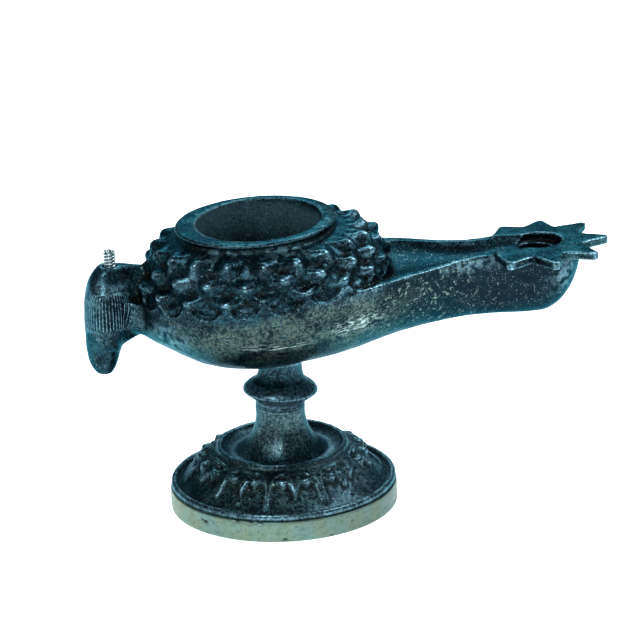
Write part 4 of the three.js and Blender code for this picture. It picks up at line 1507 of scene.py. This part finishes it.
@dataclass
class Pedestal:
    """Neck, collar, stem and leafed foot in one casting. Heights are above the disc."""

    frame: Frame
    bead_width: float = 2.1
    bead_height: float = 2.3
    dish_share: float = 0.55
    dish_rim: float = 12.7
    dish_depth: float = 3.4
    leaf_count: int = 10
    leaf_turn: float = math.radians(-88.4)
    leaf_relief: float = 1.5
    stem_radius: float = 7.4
    stem_height: float = 25.9
    collar_radius: float = 11.3
    collar_height: float = 7.4
    neck_radius: float = 6.4
    neck_height: float = 5.2
    neck_lean: float = math.radians(3)
    wall: float = 3.0
    ring_pitch: float = 0.95
    ring_depth: float = 0.1
    faces_per_leaf: int = 40

    def __post_init__(self) -> None:
        """Works out the radii of the foot's parts."""
        self.dish_radius = self.frame.foot_radius * self.dish_share
        self.slope_top = self.dish_radius + 2.0
        self.slope_foot = self.frame.foot_radius - self.bead_width - 0.4
        self.slope = [
            (self.slope_top, self.dish_rim * 0.85),
            (self.slope_foot - 8.6, self.dish_rim * 0.77),
            (self.slope_foot - 7, self.dish_rim * 0.66),
            (self.slope_foot - 4.5, self.dish_rim * 0.42),
            (self.slope_foot - 2, self.dish_rim * 0.23),
            (self.slope_foot, self.bead_height * 0.6),
        ]

    def profile(self) -> list[tuple[float, float]]:
        """The outline from the neck's top down to the hollow's middle."""
        rim, lip = self.dish_radius, self.dish_rim
        collar = self.stem_height
        top = collar + self.collar_height
        flare = lip - self.dish_depth
        foot = self.frame.foot_radius
        bead, high = self.bead_width, self.bead_height
        stem, edge = self.stem_radius, self.collar_radius
        ceiling = flare - self.wall
        hollow = foot - self.wall - 3.4
        upper = rounded_off(
            [
                (self.neck_radius, top + self.neck_height + 1.4),
                (self.neck_radius, top + self.neck_height),
                (self.neck_radius + 0.1, top + 3.4),
                (self.neck_radius + 0.5, top + 1.2),
                (self.neck_radius + 1.3, top - 0.3),
                (edge - 1.5, top - 1.6),
                (edge - 0.5, top - 2.4),
                (edge, top - 3.3),
                (edge, top - 3.6),
            ],
            2,
        )
        lower = rounded_off(
            [
                (edge - 0.1, top - 3.9),
                (edge - 1.5, top - 5.1),
                (stem + 0.9, top - 6.1),
                (stem + 0.1, collar + 0.6),
                (stem, collar - 3.0),
                (stem, flare + 12.0),
                (stem + 0.5, flare + 9.6),
                (stem + 1.1, flare + 7.6),
                (stem + 2.4, flare + 5.2),
                (stem + 4.6, flare + 2.4),
                (rim - 4, flare + self.dish_depth * 0.16),
                (rim - 1.4, lip - self.dish_depth * 0.5),
                (rim - 0.4, lip - 0.2),
            ],
            2,
        )
        brow = [(rim + 0.1, lip), (rim + 0.9, lip - 0.1), (rim + 1.3, lip * 0.9)]
        slope = rounded_off(brow + self.slope, 2)
        steps = 10
        ball = [
            (
                foot - bead / 2 + bead / 2 * math.cos(math.pi * (1 - i / steps)),
                high * 0.5 + high * 0.5 * math.sin(math.pi * (1 - i / steps)),
            )
            for i in range(steps + 1)
        ]
        under = [
            (foot - 0.5, 0.0),
            (hollow, 0.0),
            (hollow - 0.6, 2.0),
            (self.dish_radius + 3.5, ceiling - 1.2),
            (self.dish_radius + 1, ceiling),
            (0.0, ceiling),
        ]
        start = (0.0, top + self.neck_height + 1.4)
        outer = filled_in(upper + lower, 0.4) + filled_in(slope, 0.34)
        return [start] + outer + ball[:-1] + [(foot, high * 0.4)] + under

    def leaf_height(self, turn: Array, down: Array) -> Array:
        """How far the leaves stand out.

        Each leaf is an arch with a thin raised edge that runs down to a foot on each side.
        Its tip curls over in lumps round two dimples and ends in teeth, the middle one
        lowest, and a thin rib runs on below that.

        Args:
            turn: the way round the foot, in radians.
            down: from the dish (0) to the bead (1).

        Returns:
            The height of the relief.
        """
        across = (turn - self.leaf_turn) / math.tau * self.leaf_count + 0.5
        leaf = np.floor(across)
        u = (across - leaf - 0.5) * 2
        side = np.abs(u)
        lean = 0.03 * np.sin(leaf * 2.7)
        arch = np.hypot(side / 0.95, np.minimum(down - 0.42, 0.0) / 0.42)
        line = bell(arch - 1 + 0.05, 0.085) * (1 - smoothstep(0.7, 0.92, down))
        teeth = 0.5 + 0.5 * np.cos(u * math.tau / 0.47)
        wave = 0.5 + 0.5 * np.sin(turn * 23.0 + 1.3 * np.sin(turn * 7.0))
        teeth = teeth * (0.45 + 0.55 * wave)
        end = 0.36 + lean + 0.12 * teeth * (1 - 0.5 * side) + 0.16 * bell(u, 0.17)
        inside = 1 - smoothstep(0.72, 0.92, arch)
        curl = inside * (1 - smoothstep(end - 0.03, end + 0.045, down))
        curl *= 0.55 + 0.45 * smoothstep(0.12, 0.4, down) + 0.25 * teeth * smoothstep(0.2, 0.4, down)
        dimple = bell(side - 0.46, 0.17) * bell(down - 0.2, 0.075)
        lump = bell(side - 0.46, 0.13) * bell(down - 0.34, 0.06)
        under = inside * bell(down - end - 0.09, 0.07)
        rib = bell(u, 0.06 + 0.05 * down) * smoothstep(0.5, 0.6, down)
        rib *= 1 - smoothstep(0.72, 0.86, down)
        foot = bell(side - 1, 0.08 + 0.06 * down) * smoothstep(0.3, 0.55, down)
        foot *= 1 - smoothstep(0.78, 0.93, down)
        height = 0.22 * line + 0.62 * curl - 0.85 * dimple + 0.3 * lump - 0.25 * under
        height += 0.22 * rib + 0.26 * foot
        ends = smoothstep(0.0, 0.05, down) * (1 - smoothstep(0.9, 1.0, down))
        return self.leaf_relief * height * ends

    def tooled(self, points: Array) -> Array:
        """Gives the turned shape its leaves and rings, and sets its neck askew.

        Args:
            points: the places of the turned shape, which are changed.

        Returns:
            The changed places, at the pedestal's height.
        """
        r = np.hypot(points[:, 0], points[:, 1])
        turn = np.arctan2(points[:, 1], points[:, 0])
        down = (r - self.slope_top) / (self.slope_foot - self.slope_top)
        outside = points[:, 2] > curve_through(self.slope)(r) - 1.2
        leafed = (down > 0) & (down < 1) & outside
        relief = np.where(leafed, self.leaf_height(turn, np.clip(down, 0, 1)), 0.0)
        way = points[:, :2] / np.maximum(r, 1e-6)[:, None]
        points[:, :2] += way * relief[:, None] * 0.6
        points[:, 2] += relief * 0.8
        collar = self.stem_height
        rings = np.sin((points[:, 2] - collar) * math.tau / self.ring_pitch)
        rings *= bell(points[:, 2] - collar + 1.6, 1.3) * (r > 5) * self.ring_depth
        points[:, :2] += way * rings[:, None]
        lean = self.neck_lean * smoothstep(collar - 5, collar, points[:, 2])
        x, up = points[:, 0].copy(), points[:, 2] - collar
        points[:, 0] = x * np.cos(lean) + up * np.sin(lean)
        points[:, 2] = collar + up * np.cos(lean) - x * np.sin(lean)
        points[:, 2] += self.frame.disc_height
        return points

    def traces(self, surface: Surface) -> dict[Trace, Array]:
        """Reads where the pedestal is rubbed, hollow or clouded, and where its right side gets a
        painted highlight.

        Args:
            surface: its surface.

        Returns:
            One number for each point and trace.
        """
        near, far = surface.standing_out(5), surface.standing_out(40)
        z = surface.points[:, 2] - self.frame.disc_height
        above = z - self.stem_height
        radius = np.hypot(surface.points[:, 0], surface.points[:, 1])
        turn = np.arctan2(surface.points[:, 1], surface.points[:, 0])
        stem = (radius < 13) * smoothstep(self.dish_rim - 2, self.dish_rim + 3, z)
        stem *= 1 - smoothstep(-2, 0, above)
        on_bead = 1 - smoothstep(self.bead_height, self.bead_height + 0.6, z)
        brim = bell(above - self.collar_height + 5.0, 0.5) * (radius > self.stem_radius + 2)
        dish = (radius > 14) * (radius < self.dish_radius) * (z > 4)
        leaves = (radius > self.dish_radius + 1) * (z < self.dish_rim)
        # painted highlight: the right side of the dish and of the leaves is lightened where the
        # right-hand light falls
        right = bell(turn + 0.35, 0.6)
        patchy = np.clip(0.5 + 0.9 * rough(surface.points, 3.0, 8.0), 0.15, 1.2)
        wear = np.clip(near * 8 - 0.15, 0, 1) * 0.5 + np.clip(far * 1.6 - 0.3, 0, 1) * 0.4
        wear *= np.where(radius > self.dish_radius + 2, patchy, 1.0)
        wear = wear * (1 - 0.3 * on_bead) + 0.1 * stem + 0.5 * brim + 0.12 * dish
        wear += 0.4 * (above > 0) * (above < self.collar_height - 0.5)
        # painted highlight on the right of the dish and the leaves
        wear += 0.3 * dish * right * (radius < self.dish_radius - 1) + 0.2 * right * leaves
        hollow = np.clip(-near * 8, 0, 1) * 0.6 + np.clip(-far * 2.2, 0, 1) * 0.8
        return {
            Trace.WEAR: np.clip(wear, 0, 1),
            Trace.HOLLOW: np.clip(hollow, 0, 1),
            Trace.OLIVE: np.clip(0.4 * leaves + 0.6 * stem, 0, 1),
            Trace.FLAKE: 0.8 * stem + 0.5 * leaves * (z > 6),
        }

    def build(self) -> None:
        """Makes the pedestal, dresses it and hands it over."""
        bm = turned(self.profile(), self.leaf_count * self.faces_per_leaf)
        move_points(bm, self.tooled(points_of(bm)))
        shape = drawn(bm, "leafed_pedestal")
        surface = Surface(shape.data)
        uneven = 0.08 * rough(surface.points, 6.0, 2.0) + 0.05 * rough(surface.points, 2.2, 5.0)
        inner = surface.points[:, 2] < self.frame.disc_height + 0.3
        surface.points += surface.normals() * np.where(inner, 0.0, uneven)[:, None]
        surface.write()
        for trace, values in self.traces(surface).items():
            keep_trace(shape.data, trace, values)
        finish = PatinatedBronze(
            name="rubbed_cast_bronze",
            teal="#335661",
            metallic=0.86,
            dull_inside=0.0,
            grain_depth=0.1,
        )
        placed(shape, "pedestal", finish.material())


@dataclass
class BaseDisc:
    """The disc of paler metal that closes the foot, pitted and chipped with age."""

    frame: Frame
    edge: float = 0.35
    spigot_height: float = 1.6

    # way round in degrees, height, half width along, half height, depth
    PITS = (
        (-139.9, 4.0, 1.3, 0.5, 0.45),
        (-142.0, 4.3, 0.6, 0.3, 0.3),
        (-96.2, 1.0, 1.0, 0.35, 0.35),
        (-121.0, 6.3, 1.1, 0.6, 0.5),
        (-114.0, 6.4, 1.6, 0.8, 0.6),
        (-108.5, 6.2, 1.2, 0.6, 0.5),
        (-72.0, 0.6, 0.7, 0.3, 0.25),
        (-60.0, 3.5, 0.5, 0.3, 0.2),
        (20.0, 2.5, 0.8, 0.4, 0.3),
        (95.0, 4.4, 1.1, 0.4, 0.3),
        (160.0, 1.6, 0.7, 0.4, 0.3),
    )

    def pitted(self, points: Array) -> tuple[Array, Array]:
        """How deep the disc is pitted at each point, and how near each is to a pit's middle."""
        turn = np.arctan2(points[:, 1], points[:, 0])
        deep, near = np.zeros(len(points)), np.zeros(len(points))
        for degrees, high, wide, tall, depth in self.PITS:
            away = (turn - math.radians(degrees) + math.pi) % math.tau - math.pi
            along = away * self.frame.disc_radius / wide
            up = (points[:, 2] - high) / tall
            bump = np.exp(-(along**2 + up**2))
            deep, near = np.maximum(deep, depth * bump), np.maximum(near, bump)
        return deep, near

    def build(self) -> None:
        """Makes the disc, dresses it and hands it over."""
        radius, height = self.frame.disc_radius, self.frame.disc_height
        spigot = self.frame.foot_radius - 3.0 - 3.4 - 1.0
        edge = self.edge
        band = rounded_off(
            [
                (radius - 2, 0),
                (radius - edge, 0),
                (radius, edge),
                (radius, height - edge),
                (radius - edge, height),
                (radius - 2, height),
            ],
            2,
        )
        inner = [(spigot, height), (spigot - 0.6, height + self.spigot_height)]
        profile = [(0, 0)] + filled_in(band, 0.3) + inner + [(0, height + self.spigot_height)]
        bm = turned(profile, 480)
        points = points_of(bm)
        r = np.hypot(points[:, 0], points[:, 1])
        deep = np.where(r > radius - 1.2, self.pitted(points)[0], 0.0)
        points[:, :2] -= points[:, :2] / np.maximum(r, 1e-6)[:, None] * deep[:, None]
        move_points(bm, points)
        shape = drawn(bm, "turned_disc")
        places = Surface(shape.data).points
        near = self.pitted(places)[1]
        outer = np.hypot(places[:, 0], places[:, 1]) > radius - 1.5
        turn = np.arctan2(places[:, 1], places[:, 0])
        # painted dark reflection: the band is darkened towards one side
        painted_dark_side = smoothstep(-2.2, -0.7, turn) * (1 - smoothstep(0.2, 1.2, turn))
        keep_trace(shape.data, Trace.HOLLOW, smoothstep(0.3, 0.8, near * outer))
        keep_trace(shape.data, Trace.SOOT, painted_dark_side * outer)
        placed(shape, "base_disc", BareBand().material())


@dataclass
class ThreadedStud:
    """The bright stud in the terminal's seat, with a helical thread and a slotted end."""

    frame: Frame
    length: float = 9.0
    showing: float = 5.2
    pitch: float = 1.0
    root_share: float = 0.76
    slot: float = 0.7
    slot_depth: float = 1.0
    slot_turn: float = 0.5
    rows: int = 150

    def build(self) -> None:
        """Makes the stud, dresses it and hands it over."""
        radius, top = self.frame.stud_radius, self.frame.stud_top
        low = top - self.length
        rows = self.rows
        line = [(0.0, low)] + [(radius, low + self.length * i / rows) for i in range(rows + 1)]
        bm = turned(line + [(0.0, top)], 56)
        points = points_of(bm)
        r = np.hypot(points[:, 0], points[:, 1])
        turn = np.arctan2(points[:, 1], points[:, 0]) / math.tau
        phase = ((points[:, 2] - low) / self.pitch - turn) % 1.0
        tooth = 1 - np.abs(phase * 2 - 1)
        crest = smoothstep(0.1, 0.75, tooth)
        seat = top - self.showing
        threaded = smoothstep(seat - 1.2, seat - 0.2, points[:, 2])
        end = smoothstep(top - 0.55, top, points[:, 2])
        share = 1 - (1 - self.root_share) * (1 - crest) * threaded
        share *= 1 - 0.16 * end
        points[:, :2] *= np.where(r > radius * 0.5, share, 1.0)[:, None]
        move_points(bm, points)
        shape = drawn(bm, "slotted_stud")
        cutter = bmesh.new()
        bmesh.ops.create_cube(cutter, size=1.0)
        size = (self.slot, radius * 3, self.slot_depth * 2)
        bmesh.ops.scale(cutter, vec=size, verts=cutter.verts)
        place = Matrix.Translation((0, 0, top)) @ Matrix.Rotation(self.slot_turn, 4, "Z")
        bmesh.ops.transform(cutter, matrix=place, verts=cutter.verts)
        combine(shape, drawn(cutter, "slot"), Cut.TAKE_AWAY)
        places = Surface(shape.data).points
        deep = 1 - smoothstep(radius * 0.8, radius * 0.95, np.hypot(places[:, 0], places[:, 1]))
        deep *= 1 - smoothstep(top - 0.2, top - 0.05, places[:, 2])
        keep_trace(shape.data, Trace.HOLLOW, 0.6 * deep)
        shape.data.transform(Matrix.Translation((self.frame.stud_x, 0, 0)))
        placed(shape, "threaded_stud", BrightSteel().material())


@dataclass
class Studio:
    """The pale floor, the soft light and the camera."""

    azimuth: float = math.radians(-6.0)
    elevation: float = math.radians(20.3)
    distance: float = 1.8
    lens: float = 337.5
    roll: float = math.radians(2.4)
    aim_right: float = 13.02 * MM
    aim_up: float = 57.5 * MM

    def floor(self) -> None:
        """A wide pale floor that hardly takes a shadow."""
        bm = bmesh.new()
        bmesh.ops.create_grid(bm, x_segments=1, y_segments=1, size=6.0)
        mesh = bpy.data.meshes.new("studio_floor")
        bm.to_mesh(mesh)
        bm.free()
        floor = bpy.data.objects.new("studio_floor", mesh)
        bpy.context.scene.collection.objects.link(floor)
        material = Finish("pale_studio_paper").finished(
            {
                "Base Color": linear("#f4fbfd"),
                "Roughness": 0.9,
                "Emission Color": linear("#f8feff"),
                "Emission Strength": 0.9,
            }
        )
        mesh.materials.append(material)

    def softbox(
        self, name: str, place: tuple[float, float, float], size: float, power: float, tint: str
    ) -> None:
        """A square area light that faces the lamp.

        Args:
            name: the light's name.
            place: where it stands, in metres.
            size: the length of its side.
            power: its power in watts.
            tint: its colour.
        """
        light = bpy.data.lights.new(name, "AREA")
        light.shape = "SQUARE"
        light.size = size
        light.energy = power
        light.color = linear(tint)[:3]
        lamp = bpy.data.objects.new(name, light)
        bpy.context.scene.collection.objects.link(lamp)
        lamp.location = place
        toward = Vector((0.01, 0.0, 0.06)) - lamp.location
        lamp.rotation_euler = toward.to_track_quat("-Z", "Y").to_euler()

    def light(self) -> None:
        """Soft light from all round, with a main softbox above and to the left."""
        world = bpy.data.worlds.new("studio_world")
        world.use_nodes = True
        background = world.node_tree.nodes["Background"]
        background.inputs["Color"].default_value = linear("#bfe0ea")
        background.inputs["Strength"].default_value = 0.3
        bpy.context.scene.world = world
        self.softbox("key_softbox", (-0.5, -0.8, 1.0), 0.3, 11.0, "#f2fbff")
        self.softbox("right_softbox", (0.75, 0.15, 1.1), 0.4, 13.0, "#eaf6ff")
        self.softbox("back_softbox", (0.1, 0.9, 0.9), 0.5, 7.0, "#f2fbff")

    def camera(self) -> None:
        """The photograph's camera, which was held a little off level."""
        azimuth, elevation, roll = self.azimuth, self.elevation, self.roll
        back = Vector(
            (
                math.sin(azimuth) * math.cos(elevation),
                -math.cos(azimuth) * math.cos(elevation),
                math.sin(elevation),
            )
        )
        right = Vector((math.cos(azimuth), math.sin(azimuth), 0.0))
        up = back.cross(right)
        aim = right * self.aim_right + Vector((0, 0, self.aim_up))
        place = aim + back * self.distance
        across = right * math.cos(roll) - up * math.sin(roll)
        upward = right * math.sin(roll) + up * math.cos(roll)
        matrix = Matrix((across, upward, back)).transposed().to_4x4()
        matrix.translation = place
        camera = bpy.data.cameras.new("photo_camera")
        camera.lens = self.lens
        camera.sensor_width = 36.0
        camera.clip_start = 0.05
        holder = bpy.data.objects.new("photo_camera", camera)
        bpy.context.scene.collection.objects.link(holder)
        holder.matrix_world = matrix
        bpy.context.scene.camera = holder

    def build(self) -> None:
        """Sets up the studio."""
        self.floor()
        self.light()
        self.camera()
        bpy.context.scene.view_settings.view_transform = "Standard"


def main() -> None:
    """Builds the lamp piece by piece in its studio."""
    logging.basicConfig(level=logging.INFO, format="%(message)s")
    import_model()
    frame = Frame.read()
    LOG.info("frame: %s", frame)
    for part in (BaseDisc(frame), Pedestal(frame), LampBody(frame), ThreadedStud(frame)):
        part.build()
    Studio().build()


if __name__ == "__main__":
    main()
